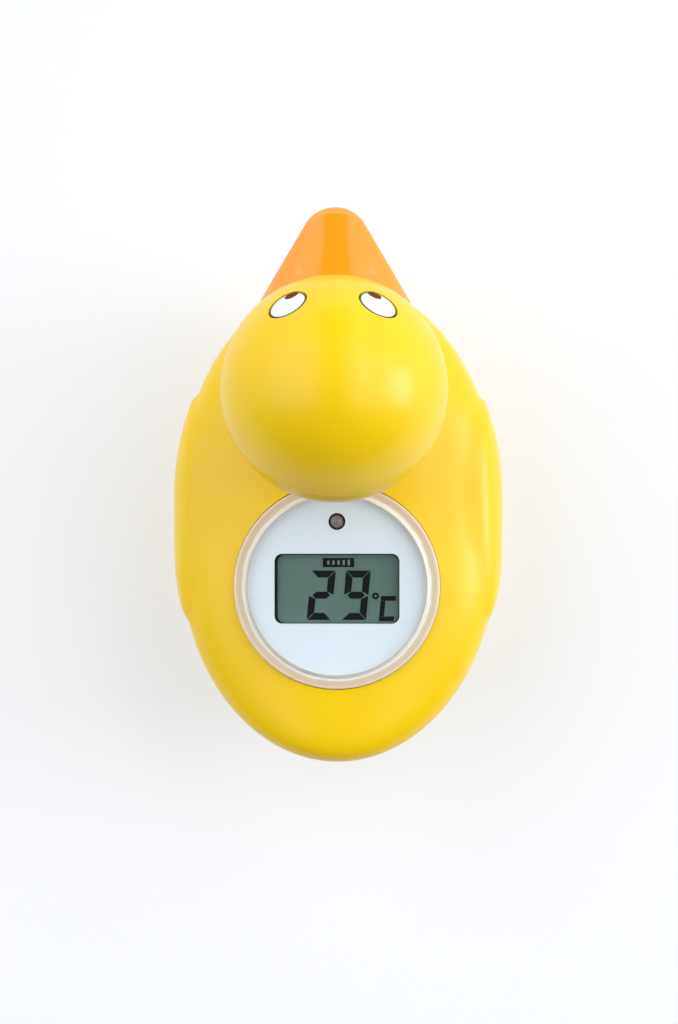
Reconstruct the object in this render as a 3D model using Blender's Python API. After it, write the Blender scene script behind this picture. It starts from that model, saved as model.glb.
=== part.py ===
"""Floating bath thermometer in the shape of a duck.

A hollow vinyl duck carries a round waterproof thermometer module. The module stands upright in the
body: its clear window cap closes the opening in the back, and its lower flange, battery cover and
water probe close the opening in the flat base. The beak is a separate glossy moulding that is
pegged into the face.

Units are metres. +Z is up, the beak points along -Y, and the origin is the middle of the footprint.
"""

import math

import bmesh
import bpy
import numpy as np
from mathutils import Vector

MM = 0.001

# Clearances
GAP = 0.3 * MM
MERGE = 0.002 * MM

# Vinyl body
WALL = 2.2 * MM
BODY_HALF_WIDTH = 31.6 * MM
BODY_STRAIGHT = 13.0 * MM
FRONT_REACH = 42.0 * MM
REAR_REACH = 40.3 * MM
WAIST_HEIGHT = 28.0 * MM
DECK_RISE = 15.6 * MM
BASE_DROP = 36.0 * MM
DECK_SQUARENESS = 2.8
BASE_SQUARENESS = 2.6
BASE_EDGE_BLEND = 5.0 * MM
TAIL_WAIST_RISE = 8.0 * MM
TAIL_SQUARENESS = 1.7
TAIL_LIFT = 7.0 * MM

# Head and neck
HEAD_RADIUS = 20.8 * MM
HEAD_LIFT = 22.4 * MM
HEAD_SETBACK = 23.7 * MM
NECK_RADIUS = 13.5 * MM
NECK_BLEND = 8.0 * MM

# Wings, folded against the sides
WING_RELIEF = 1.3 * MM
WING_THIN_END = 0.55
WING_LENGTH = 45.5 * MM
WING_FORWARD = 25.2 * MM
WING_HALF_HEIGHT = 10.5 * MM
WING_LIFT = 1.0 * MM
WING_TIP_RISE = 6.0 * MM
WING_EDGE = 1.8 * MM

# Eyes, as shallow moulded ovals
EYE_AZIMUTH = 27.4
EYE_ELEVATION = 33.3
EYE_HALF_WIDTH = 3.9 * MM
EYE_HALF_HEIGHT = 3.45 * MM
EYE_DEPTH = 0.5 * MM

# Beak
BEAK_LENGTH = 34.3 * MM
BEAK_ROOT = 12.6 * MM
BEAK_WIDEST = 16.0 * MM
BEAK_HALF_WIDTH = 14.2 * MM
BEAK_ROOT_TUCK = 1.4 * MM
BEAK_TIP_RADIUS = 6.4 * MM
BEAK_DROP = 5.0 * MM
BEAK_FALL = 2.6 * MM
BEAK_CROWN_RADIUS = 17.0 * MM
BEAK_JAW_RADIUS = 22.0 * MM
BEAK_LIP = 1.3 * MM
BEAK_MOUTH_GROOVE = 0.8 * MM
BEAK_POCKET = 1.2 * MM
PEG_HALF_WIDTH = 7.0 * MM
PEG_HALF_HEIGHT = 2.6 * MM
PEG_INSIDE = 2.5 * MM

# Thermometer module: window end
MODULE_BACK = 12.1 * MM
SEAT_DEPTH = 2.8 * MM
CAP_RADIUS = 20.0 * MM
CAP_FLANGE = 1.3 * MM
CAP_STEP = 0.7 * MM
CAP_SKIRT = 4.3 * MM
CAP_SKIRT_WALL = 0.8 * MM
CAP_SOFT_EDGE = 0.35 * MM
WINDOW_THICKNESS = 1.2 * MM
GASKET_THICKNESS = 0.7 * MM
PLATE_THICKNESS = 1.2 * MM
PLATE_RADIUS = 17.2 * MM
COLLAR_WIDTH = 3.6 * MM
COLLAR_DEPTH = 5.0 * MM

# Thermometer module: housing
HOUSING_RADIUS = 17.0 * MM
HOUSING_WALL = 1.2 * MM
HOUSING_LIFT = 0.6 * MM
HOUSING_FLOOR = 3.4 * MM
FLANGE_RADIUS = 19.4 * MM
FLANGE_THICKNESS = 1.6 * MM

# Display
LCD_LENGTH = 26.0 * MM
LCD_WIDTH = 15.4 * MM
LCD_THICKNESS = 1.8 * MM
LCD_BACK = 0.55 * MM
LCD_WINDOW_LENGTH = 24.3 * MM
LCD_WINDOW_WIDTH = 13.6 * MM
LCD_WINDOW_CORNER = 1.0 * MM
FRAME_WALL = 0.9 * MM
FRAME_BASE = 1.5 * MM
FRAME_CORNER = 1.0 * MM
GLASS_CORNER = 0.3 * MM
WELL_MARGIN_X = 2.0 * MM
WELL_MARGIN_Y = 4.2 * MM
WELL_BACK = 1.4 * MM
ZEBRA_HEIGHT = 2.9 * MM
ZEBRA_THICKNESS = 1.6 * MM
ZEBRA_LENGTH = 22.0 * MM
LED_RADIUS = 1.5 * MM
LED_RIM = 0.4 * MM
LED_FORWARD = 12.5 * MM
LED_RIM_THICKNESS = 1.0 * MM
LED_LEG = 0.25 * MM
LED_LEG_SPREAD = 1.27 * MM
LED_LEG_END = 1.0 * MM

# Circuit board and its fixings
BOARD_THICKNESS = 1.2 * MM
CHIP_RADIUS = 4.2 * MM
CHIP_THICKNESS = 1.3 * MM
BOARD_SCREW_X = 7.0 * MM
BOARD_SCREW_Y = 11.6 * MM
BOARD_BOSS_RADIUS = 2.4 * MM
BOARD_BOSS_HEIGHT = 8.0 * MM
BOARD_SCREW_DEPTH = 5.0 * MM
CHIP_EDGE = 0.2 * MM

# Screws
SCREW_RADIUS = 0.7 * MM
SCREW_HEAD_RADIUS = 1.3 * MM
SCREW_HEAD = 0.9 * MM
SCREW_SLOT = 0.4 * MM
SCREW_TAPER = 0.8
PILOT_FLOOR = 1.0 * MM

# Battery bay
CELL_RADIUS = 10.0 * MM
CELL_THICKNESS = 3.2 * MM
CELL_RIM = 0.6 * MM
CELL_CAN = 1.2 * MM
CELL_PLAY = 0.5 * MM
CELL_EDGE = 0.3 * MM
BAY_BACK = 3.0 * MM
COVER_RADIUS = 12.4 * MM
COVER_THICKNESS = 1.5 * MM
COVER_SCREW_X = 13.4 * MM
COVER_EAR = 2.4 * MM
SEAL_WIDTH = 1.2 * MM
SEAL_THICKNESS = 0.6 * MM
COVER_BOSS = 2.3 * MM
TRAY_THICKNESS = 1.2 * MM
TRAY_RISE = 0.6 * MM
CONTACT_THICKNESS = 0.25 * MM
CONTACT_WIDTH = 3.0 * MM
CONTACT_TAB = 2.0 * MM
CONTACT_WIPE = 3.5 * MM
CONTACT_RISE = 3.5 * MM
CONTACT_SHELF = 3.0 * MM
CONTACT_OFFSET = 4.0 * MM

# Water probe, contact pins and leads
PROBE_FORWARD = 12.4 * MM
PROBE_RADIUS = 1.8 * MM
PROBE_WALL = 0.3 * MM
PROBE_HEIGHT = 6.4 * MM
PROBE_LIFT = 0.3 * MM
THERMISTOR_RADIUS = 0.9 * MM
PIN_SPREAD = 6.0 * MM
PIN_FORWARD = 11.6 * MM
PIN_RADIUS = 0.9 * MM
PIN_EDGE = 0.2 * MM
WATER_BOSS_WALL = 1.1 * MM
PROBE_ROUND = 0.8 * MM
PROBE_BOWL = 0.6 * MM
LEAD_RADIUS = 0.5 * MM
LEAD_SAG = 2.0 * MM

# Where the leads meet the board, from the module's axis
PROBE_PAD_Y = -8.6 * MM
PIN_PAD_X = 3.2 * MM
PIN_PAD_Y = -7.4 * MM
BATTERY_PAD_X = 3.0 * MM
NEGATIVE_PAD_Y = 8.2 * MM
POSITIVE_PAD_Y = 10.4 * MM

# Fineness of the meshes
SKIN_FINENESS = {"segments": 44, "tail": 17, "chest": 11, "head": 12}
HOLLOW_FINENESS = {"segments": 24, "tail": 9, "chest": 6, "head": 9}
WINDOW_STEPS = 36
TURN_STEPS = 32
SMALL_STEPS = 12
EYE_STEPS = 20
SHARP_ANGLE = math.radians(32)

# The hinge line at the nape round which the sections of chest and head fan out
FAN_ANGLE = math.radians(38)
FAN_DISTANCE = 1.25

# Places that follow from the sizes
HEAD_FORWARD = BODY_STRAIGHT / 2 + FRONT_REACH - HEAD_SETBACK
FRONT_EXTENT = HEAD_FORWARD + BEAK_LENGTH
REAR_EXTENT = BODY_STRAIGHT / 2 + REAR_REACH
BODY_Y = (FRONT_EXTENT - REAR_EXTENT) / 2
DECK_Z = WAIST_HEIGHT + DECK_RISE
HEAD_Y = BODY_Y - HEAD_FORWARD
HEAD_Z = DECK_Z + HEAD_LIFT
MODULE_Y = BODY_Y + MODULE_BACK
MOUTH_Z = HEAD_Z - BEAK_DROP

SEAT_Z = DECK_Z - SEAT_DEPTH
GASKET_Z = SEAT_Z + GAP
CAP_Z = GASKET_Z + GASKET_THICKNESS + GAP
CAP_TOP_Z = CAP_Z + CAP_FLANGE + CAP_STEP
WINDOW_Z = CAP_TOP_Z - WINDOW_THICKNESS
PLATE_Z = WINDOW_Z - GAP - PLATE_THICKNESS
HOUSING_TOP_Z = PLATE_Z - GAP
LCD_Z = PLATE_Z - GAP - LCD_THICKNESS
BOARD_TOP_Z = LCD_Z - 2 * GAP - ZEBRA_HEIGHT
BOARD_Z = BOARD_TOP_Z - BOARD_THICKNESS
FRAME_Z = BOARD_TOP_Z + GAP
BOSS_TOP_Z = BOARD_Z - GAP
HOUSING_BORE = HOUSING_RADIUS - HOUSING_WALL
INNER_RADIUS = HOUSING_BORE - GAP
SKIRT_BORE = HOUSING_RADIUS + GAP
SKIRT_RADIUS = SKIRT_BORE + CAP_SKIRT_WALL
DECK_BORE = SKIRT_RADIUS + GAP
CAP_RECESS = CAP_RADIUS + GAP
BASE_BORE = HOUSING_RADIUS + GAP
FLANGE_RECESS = FLANGE_RADIUS + GAP
FLOOR_TOP_Z = HOUSING_LIFT + HOUSING_FLOOR
COVER_TOP_Z = HOUSING_LIFT + COVER_THICKNESS
LEDGE_Z = COVER_TOP_Z + GAP
SEAL_SEAT_Z = LEDGE_Z + SEAL_THICKNESS + GAP
CELL_Z = COVER_TOP_Z + GAP
CELL_TOP_Z = CELL_Z + CELL_THICKNESS
TRAY_Z = CELL_TOP_Z + TRAY_RISE + CONTACT_THICKNESS
TRAY_TOP_Z = TRAY_Z + TRAY_THICKNESS
BAY_BORE = CELL_RADIUS + CELL_PLAY


def clear_scene():
    """Empties the file so that every run starts alike."""
    for obj in list(bpy.data.objects):
        bpy.data.objects.remove(obj, do_unlink=True)


def principled(name, colour, roughness, metallic=0.0, transmission=0.0):
    """A Principled material with a plain linear colour."""
    material = bpy.data.materials.new(name)
    material.use_nodes = True
    shader = material.node_tree.nodes["Principled BSDF"]
    shader.inputs["Base Color"].default_value = (*colour, 1.0)
    shader.inputs["Roughness"].default_value = roughness
    shader.inputs["Metallic"].default_value = metallic
    shader.inputs["Transmission Weight"].default_value = transmission
    return material


def object_from_bmesh(name, bm, material=None, parent=None):
    """Turns a bmesh into an object with outward faces and smooth round sides."""
    bmesh.ops.remove_doubles(bm, verts=bm.verts, dist=MERGE)
    if bm.faces:
        bmesh.ops.recalc_face_normals(bm, faces=bm.faces)
    mesh = bpy.data.meshes.new(name)
    bm.to_mesh(mesh)
    bm.free()
    mesh.shade_smooth()
    mesh.set_sharp_from_angle(angle=SHARP_ANGLE)
    obj = bpy.data.objects.new(name, mesh)
    bpy.context.scene.collection.objects.link(obj)
    obj.parent = parent
    if material:
        mesh.materials.append(material)
    return obj


def as_cutter(obj):
    """Hides a guide body that only shapes its neighbour."""
    obj.hide_render = True
    obj.display_type = "WIRE"
    return obj


def combine(obj, other, operation):
    """Adds an exact Boolean with a guide body."""
    as_cutter(other)
    modifier = obj.modifiers.new(f"{operation.lower()}_{other.name}", "BOOLEAN")
    modifier.operation = operation
    modifier.solver = "EXACT"
    modifier.object = other
    return obj


def cut(obj, *cutters):
    """Cuts each guide body out of a piece."""
    for cutter in cutters:
        combine(obj, cutter, "DIFFERENCE")
    return obj


def join(obj, *others):
    """Unites each guide body with a piece."""
    for other in others:
        combine(obj, other, "UNION")
    return obj


def use_manifold(obj):
    """Sets the manifold solver, where many cuts share ring faces and the exact one leaves gaps."""
    for modifier in obj.modifiers:
        if modifier.type == "BOOLEAN":
            modifier.solver = "MANIFOLD"
    return obj


def turned(name, profile, material=None, parent=None, closed=False, centre=(0.0, 0.0), steps=TURN_STEPS):
    """A turned piece. The profile (radius, height) runs out along the top and down the outer side."""
    bm = bmesh.new()
    verts = [bm.verts.new((radius, 0.0, height)) for radius, height in profile]
    pairs = list(zip(verts, verts[1:]))
    if closed:
        pairs.append((verts[-1], verts[0]))
    for first, second in pairs:
        bm.edges.new((first, second))
    mesh = bpy.data.meshes.new(name)
    bm.to_mesh(mesh)
    bm.free()
    obj = bpy.data.objects.new(name, mesh)
    bpy.context.scene.collection.objects.link(obj)
    obj.parent = parent
    obj.location = (centre[0], centre[1], 0.0)
    if material:
        mesh.materials.append(material)
    screw = obj.modifiers.new("turn", "SCREW")
    screw.steps = steps
    screw.render_steps = steps
    screw.use_merge_vertices = True
    screw.merge_threshold = MERGE
    screw.use_smooth_shade = True
    return obj


def ring(name, inner, outer, low, high, material=None, parent=None, centre=(0.0, 0.0), steps=TURN_STEPS):
    """A flat ring between two radii and two heights."""
    profile = [(inner, high), (outer, high), (outer, low), (inner, low)]
    return turned(name, profile, material, parent, closed=True, centre=centre, steps=steps)


def disc(name, radius, low, high, material=None, parent=None, centre=(0.0, 0.0), steps=TURN_STEPS):
    """A plain round plate or pin."""
    profile = [(0.0, high), (radius, high), (radius, low), (0.0, low)]
    return turned(name, profile, material, parent, centre=centre, steps=steps)


def arc(centre, radius, start, end, count):
    """Points (radius, height) of an arc, from one angle to the other in degrees."""
    angles = [math.radians(start + (end - start) * step / count) for step in range(count + 1)]
    return [(centre[0] + radius * math.cos(a), centre[1] + radius * math.sin(a)) for a in angles]


def rounded_rectangle(half_x, half_y, corner, centre=(0.0, 0.0), count=4):
    """The outline of a rectangle with round corners, anticlockwise."""
    outline = []
    quarters = [(1, 1, 0), (-1, 1, 90), (-1, -1, 180), (1, -1, 270)]
    for sign_x, sign_y, start in quarters:
        middle = (centre[0] + sign_x * (half_x - corner), centre[1] + sign_y * (half_y - corner))
        outline += arc(middle, corner, start, start + 90, count)
    return outline


def prism(name, outline, low, high, material=None, parent=None):
    """An outline extruded from one height to another."""
    bm = bmesh.new()
    base = bm.faces.new([bm.verts.new((x, y, low)) for x, y in outline])
    grown = bmesh.ops.extrude_face_region(bm, geom=[base])
    top = [item for item in grown["geom"] if isinstance(item, bmesh.types.BMVert)]
    bmesh.ops.translate(bm, vec=(0.0, 0.0, high - low), verts=top)
    return object_from_bmesh(name, bm, material, parent)


def loft(bm, rings, cap_start=None, cap_end=None):
    """Skins closed rings of points. An end is closed by a point, or by a flat face without one."""
    rows = [[bm.verts.new(point) for point in points] for points in rings]
    count = len(rows[0])
    for low, high in zip(rows, rows[1:]):
        for index in range(count):
            following = (index + 1) % count
            bm.faces.new((low[index], low[following], high[following], high[index]))
    for row, cap in ((rows[0], cap_start), (rows[-1], cap_end)):
        if cap is None:
            bm.faces.new(row)
            continue
        tip = bm.verts.new(cap)
        for index in range(count):
            bm.faces.new((row[index], row[(index + 1) % count], tip))


def smooth_union(first, second, blend):
    """The lower of two distances, with a soft blend where they are close."""
    overlap = np.maximum(blend - np.abs(first - second), 0.0) / blend
    return np.minimum(first, second) - overlap * overlap * blend / 4


def body_level(x, y, z):
    """1 on the body's skin. The plan is two half ellipses, the section a soft square."""
    along = y - BODY_Y
    past = np.maximum(np.abs(along) - BODY_STRAIGHT / 2, 0.0)
    reach = np.where(along > 0, REAR_REACH, FRONT_REACH)
    astern = np.clip(along / REAR_EXTENT, 0.0, 1.0)
    waist = WAIST_HEIGHT + TAIL_WAIST_RISE * astern**2
    above = z > waist
    deck = DECK_Z + TAIL_LIFT * astern**6
    height = np.where(above, deck - waist, BASE_DROP * waist / WAIST_HEIGHT)
    keel = BASE_SQUARENESS + (TAIL_SQUARENESS - BASE_SQUARENESS) * astern**2
    power = np.where(above, DECK_SQUARENESS, keel)
    plan = np.sqrt((x / BODY_HALF_WIDTH) ** 2 + (past / reach) ** 2)
    rise = np.abs(z - waist) / height
    return (plan**power + rise**power + 1e-12) ** (1 / power)


def distance_from(level, x, y, z):
    """A level function turned into a distance by its slope."""
    step = 0.05 * MM
    middle = level(x, y, z)
    slope_x = level(x + step, y, z) - level(x - step, y, z)
    slope_y = level(x, y + step, z) - level(x, y - step, z)
    slope_z = level(x, y, z + step) - level(x, y, z - step)
    slope = np.sqrt(slope_x**2 + slope_y**2 + slope_z**2) / (2 * step)
    return (middle - 1) / np.maximum(slope, 1e-3)


def wing_cover(y, z):
    """Up to 1 inside the outline of a folded wing and 0 outside, with a soft edge and thinner ends."""
    along = (y - (BODY_Y - WING_FORWARD)) / WING_LENGTH
    inside = np.clip(along, 0.0, 1.0)
    half = WING_HALF_HEIGHT * np.sin(math.pi * inside**0.62) ** 0.75
    middle = WAIST_HEIGHT + WING_LIFT + WING_TIP_RISE * inside**2
    depth = np.clip((half - np.abs(z - middle)) / WING_EDGE, 0.0, 1.0)
    swell = WING_THIN_END + (1 - WING_THIN_END) * np.sin(math.pi * inside)
    return swell * depth * depth * (3 - 2 * depth)


def duck_distance(points):
    """Distance to the vinyl duck's outer skin, negative inside."""
    x, y, z = points[..., 0], points[..., 1], points[..., 2]
    body = distance_from(body_level, x, y, z) - WING_RELIEF * wing_cover(y, z)
    low = np.clip(z, WAIST_HEIGHT, HEAD_Z)
    neck = np.sqrt(x**2 + (y - HEAD_Y) ** 2 + (z - low) ** 2) - NECK_RADIUS
    body = smooth_union(body, neck, NECK_BLEND)
    head = np.sqrt(x**2 + (y - HEAD_Y) ** 2 + (z - HEAD_Z) ** 2) - HEAD_RADIUS
    skin = smooth_union(body, head, NECK_BLEND)
    return -smooth_union(-skin, z, BASE_EDGE_BLEND)


def first_exit(origin, directions, reach, inset):
    """Where rays from one inner point leave the skin, or the surface that lies inset under it."""
    steps = np.linspace(0.0, reach, 200)
    samples = origin + directions[:, None, :] * steps[None, :, None]
    outside = duck_distance(samples) > -inset
    first = np.maximum(outside.argmax(axis=1), 1)
    near = steps[first - 1]
    far = steps[first]
    for _ in range(24):
        middle = (near + far) / 2
        beyond = duck_distance(origin + directions * middle[:, None]) > -inset
        far = np.where(beyond, middle, far)
        near = np.where(beyond, near, middle)
    return origin + directions * middle[:, None]


def middle_of_span(start, direction, reach, inset):
    """The middle of the first stretch inside the skin, seen from an outer point."""
    steps = np.linspace(0.0, reach, 900)
    inside = duck_distance(start + direction[None, :] * steps[:, None]) < -inset
    enter = inside.argmax()
    leave = enter + (~inside[enter:]).argmax()
    return start + direction * (steps[enter] + steps[leave]) / 2


def duck_rings(inset, fineness):
    """Sections of the duck: across the body, then fanned round the nape, up and over the head."""
    turn = np.linspace(0.0, 2 * math.pi, fineness["segments"], endpoint=False)
    sideways = np.array([1.0, 0.0, 0.0])
    pivot_distance = FAN_DISTANCE * HEAD_RADIUS
    ball = HEAD_RADIUS - inset
    behind = pivot_distance * math.cos(FAN_ANGLE)
    below = pivot_distance * math.sin(FAN_ANGLE)
    pivot = np.array([0.0, HEAD_Y + behind, HEAD_Z - below])
    rings = []

    def add_ring(start, direction):
        middle = middle_of_span(start, direction, 3 * BODY_HALF_WIDTH, inset)
        directions = np.cos(turn)[:, None] * sideways + np.sin(turn)[:, None] * direction
        rings.append(first_exit(middle, directions, 2 * FRONT_REACH, inset))

    down = np.array([0.0, 0.0, -1.0])
    tail_z = np.linspace(WAIST_HEIGHT / 2, DECK_Z, 60)
    tail_starts = np.stack([0 * tail_z, 0 * tail_z + MODULE_Y, tail_z], axis=1)
    backward = np.array([[0.0, 1.0, 0.0]])
    tail_points = np.concatenate(
        [first_exit(start, backward, 2 * REAR_REACH, inset) for start in tail_starts]
    )
    tail_tip = tail_points[tail_points[:, 1].argmax()]
    length = tail_tip[1] - pivot[1]
    for index in range(1, fineness["tail"] + 1):
        part = 1 - math.cos(math.pi / 2 * index / fineness["tail"])
        place = tail_tip[1] - length * part
        add_ring(np.array([0.0, place, DECK_Z + WALL * 4]), down)
    lowest_head = FAN_ANGLE - math.asin(ball / pivot_distance)
    for index in range(1, fineness["chest"] + 1):
        angle = -math.pi / 2 + (lowest_head + math.pi / 2) * index / fineness["chest"]
        add_ring(pivot, np.array([0.0, -math.cos(angle), math.sin(angle)]))
    for index in range(1, fineness["head"]):
        swing = -math.pi / 2 + math.pi * index / fineness["head"]
        angle = FAN_ANGLE + math.asin(ball * math.sin(swing) / pivot_distance)
        add_ring(pivot, np.array([0.0, -math.cos(angle), math.sin(angle)]))
    last = FAN_ANGLE + math.asin(ball / pivot_distance)
    reach = math.sqrt(pivot_distance**2 - ball**2)
    crown = pivot + reach * np.array([0.0, -math.cos(last), math.sin(last)])
    return rings, tail_tip, crown


def eye_direction(side):
    """Unit vector from the head's centre to the middle of an eye."""
    azimuth = math.radians(EYE_AZIMUTH)
    elevation = math.radians(EYE_ELEVATION)
    flat = math.cos(elevation)
    return Vector((side * math.sin(azimuth) * flat, -math.cos(azimuth) * flat, math.sin(elevation)))


def eye_cutter(side):
    """An oval patch of the head's skin, from just under it to well outside."""
    normal = eye_direction(side)
    across = Vector((0.0, 0.0, 1.0)).cross(normal).normalized()
    upward = normal.cross(across)
    rings = []
    floor = HEAD_RADIUS - EYE_DEPTH
    outside = HEAD_RADIUS + 2 * EYE_DEPTH
    for radius, share in ((floor, 0.5), (floor, 1.0), (outside, 1.0)):
        points = []
        for index in range(EYE_STEPS):
            angle = 2 * math.pi * index / EYE_STEPS
            offset = across * (EYE_HALF_WIDTH * math.cos(angle))
            offset += upward * (EYE_HALF_HEIGHT * math.sin(angle))
            direction = (normal * HEAD_RADIUS + offset * share).normalized()
            points.append(Vector((0.0, HEAD_Y, HEAD_Z)) + direction * radius)
        rings.append(points)
    bm = bmesh.new()
    middle = Vector((0.0, HEAD_Y, HEAD_Z))
    loft(bm, rings, middle + normal * floor, middle + normal * outside)
    return object_from_bmesh(f"eye_guide_{'left' if side > 0 else 'right'}", bm)


def beak_half_width(ahead):
    """Half the beak's width at a distance ahead of the head's centre."""
    tip_middle = BEAK_LENGTH - BEAK_TIP_RADIUS
    slope = (BEAK_HALF_WIDTH - BEAK_TIP_RADIUS) / (tip_middle - BEAK_WIDEST)
    lean = math.atan(slope)
    tangent = tip_middle + BEAK_TIP_RADIUS * math.sin(lean)
    if ahead < BEAK_WIDEST:
        back = (BEAK_WIDEST - ahead) / (BEAK_WIDEST - BEAK_ROOT)
        return BEAK_HALF_WIDTH - BEAK_ROOT_TUCK * back**2
    if ahead < tangent:
        tangent_width = BEAK_TIP_RADIUS * math.cos(lean)
        share = (ahead - BEAK_WIDEST) / (tangent - BEAK_WIDEST)
        return BEAK_HALF_WIDTH + (tangent_width - BEAK_HALF_WIDTH) * share
    return math.sqrt(max(BEAK_TIP_RADIUS**2 - (ahead - tip_middle) ** 2, 0.0))


def beak_section(ahead, grow):
    """One closed section of the beak: arched upper bill, mouth groove, flatter lower bill."""
    half = beak_half_width(ahead)
    share = max(ahead - HEAD_RADIUS, 0.0) / (BEAK_LENGTH - HEAD_RADIUS)
    mouth = MOUTH_Z - BEAK_FALL * share
    lip = BEAK_LIP * min(1.0, half / BEAK_TIP_RADIUS)
    points = []
    for part, crown in ((1, BEAK_CROWN_RADIUS), (-1, BEAK_JAW_RADIUS)):
        groove = half - BEAK_MOUTH_GROOVE * min(1.0, half / BEAK_TIP_RADIUS)
        points.append((part * (groove + grow), mouth))
        for index in range(13):
            angle = math.radians(6 + 14 * index)
            x = half * math.cos(angle) * part
            arch = math.sqrt(crown**2 - x**2) - math.sqrt(crown**2 - half**2)
            rise = lip * math.sin(angle) ** 0.5 + arch
            wide = x + grow * math.cos(angle) * part
            points.append((wide, mouth + part * (rise + grow * math.sin(angle))))
    return [(x, HEAD_Y - ahead, z) for x, z in points]


def beak_body(name, grow, material=None):
    """The beak's outer form, grown by a clearance when it cuts the face."""
    tip_middle = BEAK_LENGTH - BEAK_TIP_RADIUS
    free = HEAD_RADIUS + WALL
    stations = [BEAK_ROOT + (free - BEAK_ROOT) * step / 4 for step in range(5)]
    stations += [free + (tip_middle - free) * step / 2 for step in (1, 2)]
    turns = [math.radians(angle) for angle in (20, 38, 54, 67, 78)]
    stations += [tip_middle + BEAK_TIP_RADIUS * math.sin(turn) for turn in turns]
    rings = [beak_section(station, grow) for station in stations]
    bm = bmesh.new()
    tip = (0.0, HEAD_Y - BEAK_LENGTH - grow, MOUTH_Z - BEAK_FALL)
    loft(bm, rings, None, tip)
    return object_from_bmesh(name, bm, material)


def head_ball(name, radius):
    """A ball on the head's centre, as a guide for what follows the face."""
    bm = bmesh.new()
    bmesh.ops.create_uvsphere(bm, u_segments=48, v_segments=24, radius=radius)
    bmesh.ops.translate(bm, vec=(0.0, HEAD_Y, HEAD_Z), verts=bm.verts)
    return object_from_bmesh(name, bm)


def beak_peg(name, grow):
    """The oval peg behind the beak."""
    inside = HEAD_RADIUS - WALL - PEG_INSIDE
    outside = HEAD_RADIUS + WALL
    rings = []
    for ahead in (inside - grow, outside):
        points = []
        for index in range(20):
            angle = 2 * math.pi * index / 20
            x = (PEG_HALF_WIDTH + grow) * math.cos(angle)
            z = (PEG_HALF_HEIGHT + grow) * math.sin(angle)
            points.append((x, HEAD_Y - ahead, MOUTH_Z + z))
        rings.append(points)
    bm = bmesh.new()
    loft(bm, rings)
    return object_from_bmesh(name, bm)


def duck_form(name, inset, fineness, material=None):
    """The closed form of the duck, or of the hollow that lies inset under its skin."""
    rings, tail_tip, crown = duck_rings(inset, fineness)
    bm = bmesh.new()
    loft(bm, rings, tail_tip, crown)
    return object_from_bmesh(name, bm, material)


def build_duck(materials):
    """The vinyl duck: one moulding of head and body with its openings."""
    shell = duck_form("duck_shell", 0.0, SKIN_FINENESS, materials["vinyl"])
    centre = (0.0, MODULE_Y)
    collar_z = SEAT_Z - COLLAR_DEPTH
    base_top = HOUSING_LIFT + FLANGE_THICKNESS + GAP
    deck_collar = disc("deck_collar", DECK_BORE + COLLAR_WIDTH, collar_z, DECK_Z + WALL, centre=centre)
    base_collar = disc("base_collar", FLANGE_RECESS + WALL, 0.0, base_top + WALL, centre=centre)
    hollow = cut(duck_form("hollow", WALL, HOLLOW_FINENESS), deck_collar, base_collar)
    cut(shell, hollow)
    above = CAP_TOP_Z + GAP
    deck_hole = turned(
        "deck_hole",
        [(0.0, above), (CAP_RECESS, above), (CAP_RECESS, SEAT_Z), (DECK_BORE, SEAT_Z),
         (DECK_BORE, collar_z - WALL), (0.0, collar_z - WALL)],
        centre=centre,
    )
    base_hole = turned(
        "base_hole",
        [(0.0, base_top + 2 * WALL), (BASE_BORE, base_top + 2 * WALL), (BASE_BORE, base_top),
         (FLANGE_RECESS, base_top), (FLANGE_RECESS, -WALL), (0.0, -WALL)],
        centre=centre,
    )
    face_pocket = cut(beak_body("face_pocket", GAP), head_ball("pocket_ball", HEAD_RADIUS - BEAK_POCKET))
    peg_hole = beak_peg("peg_hole", GAP)
    cut(shell, deck_hole, base_hole, face_pocket, peg_hole)
    for side in (1, -1):
        cut(shell, eye_cutter(side))
    return use_manifold(shell)


def build_beak(materials):
    """The glossy beak with its oval peg."""
    beak = beak_body("beak", 0.0, materials["orange"])
    cut(beak, head_ball("beak_ball", HEAD_RADIUS - BEAK_POCKET + GAP))
    join(beak, beak_peg("beak_peg", 0.0))
    return beak


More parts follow.
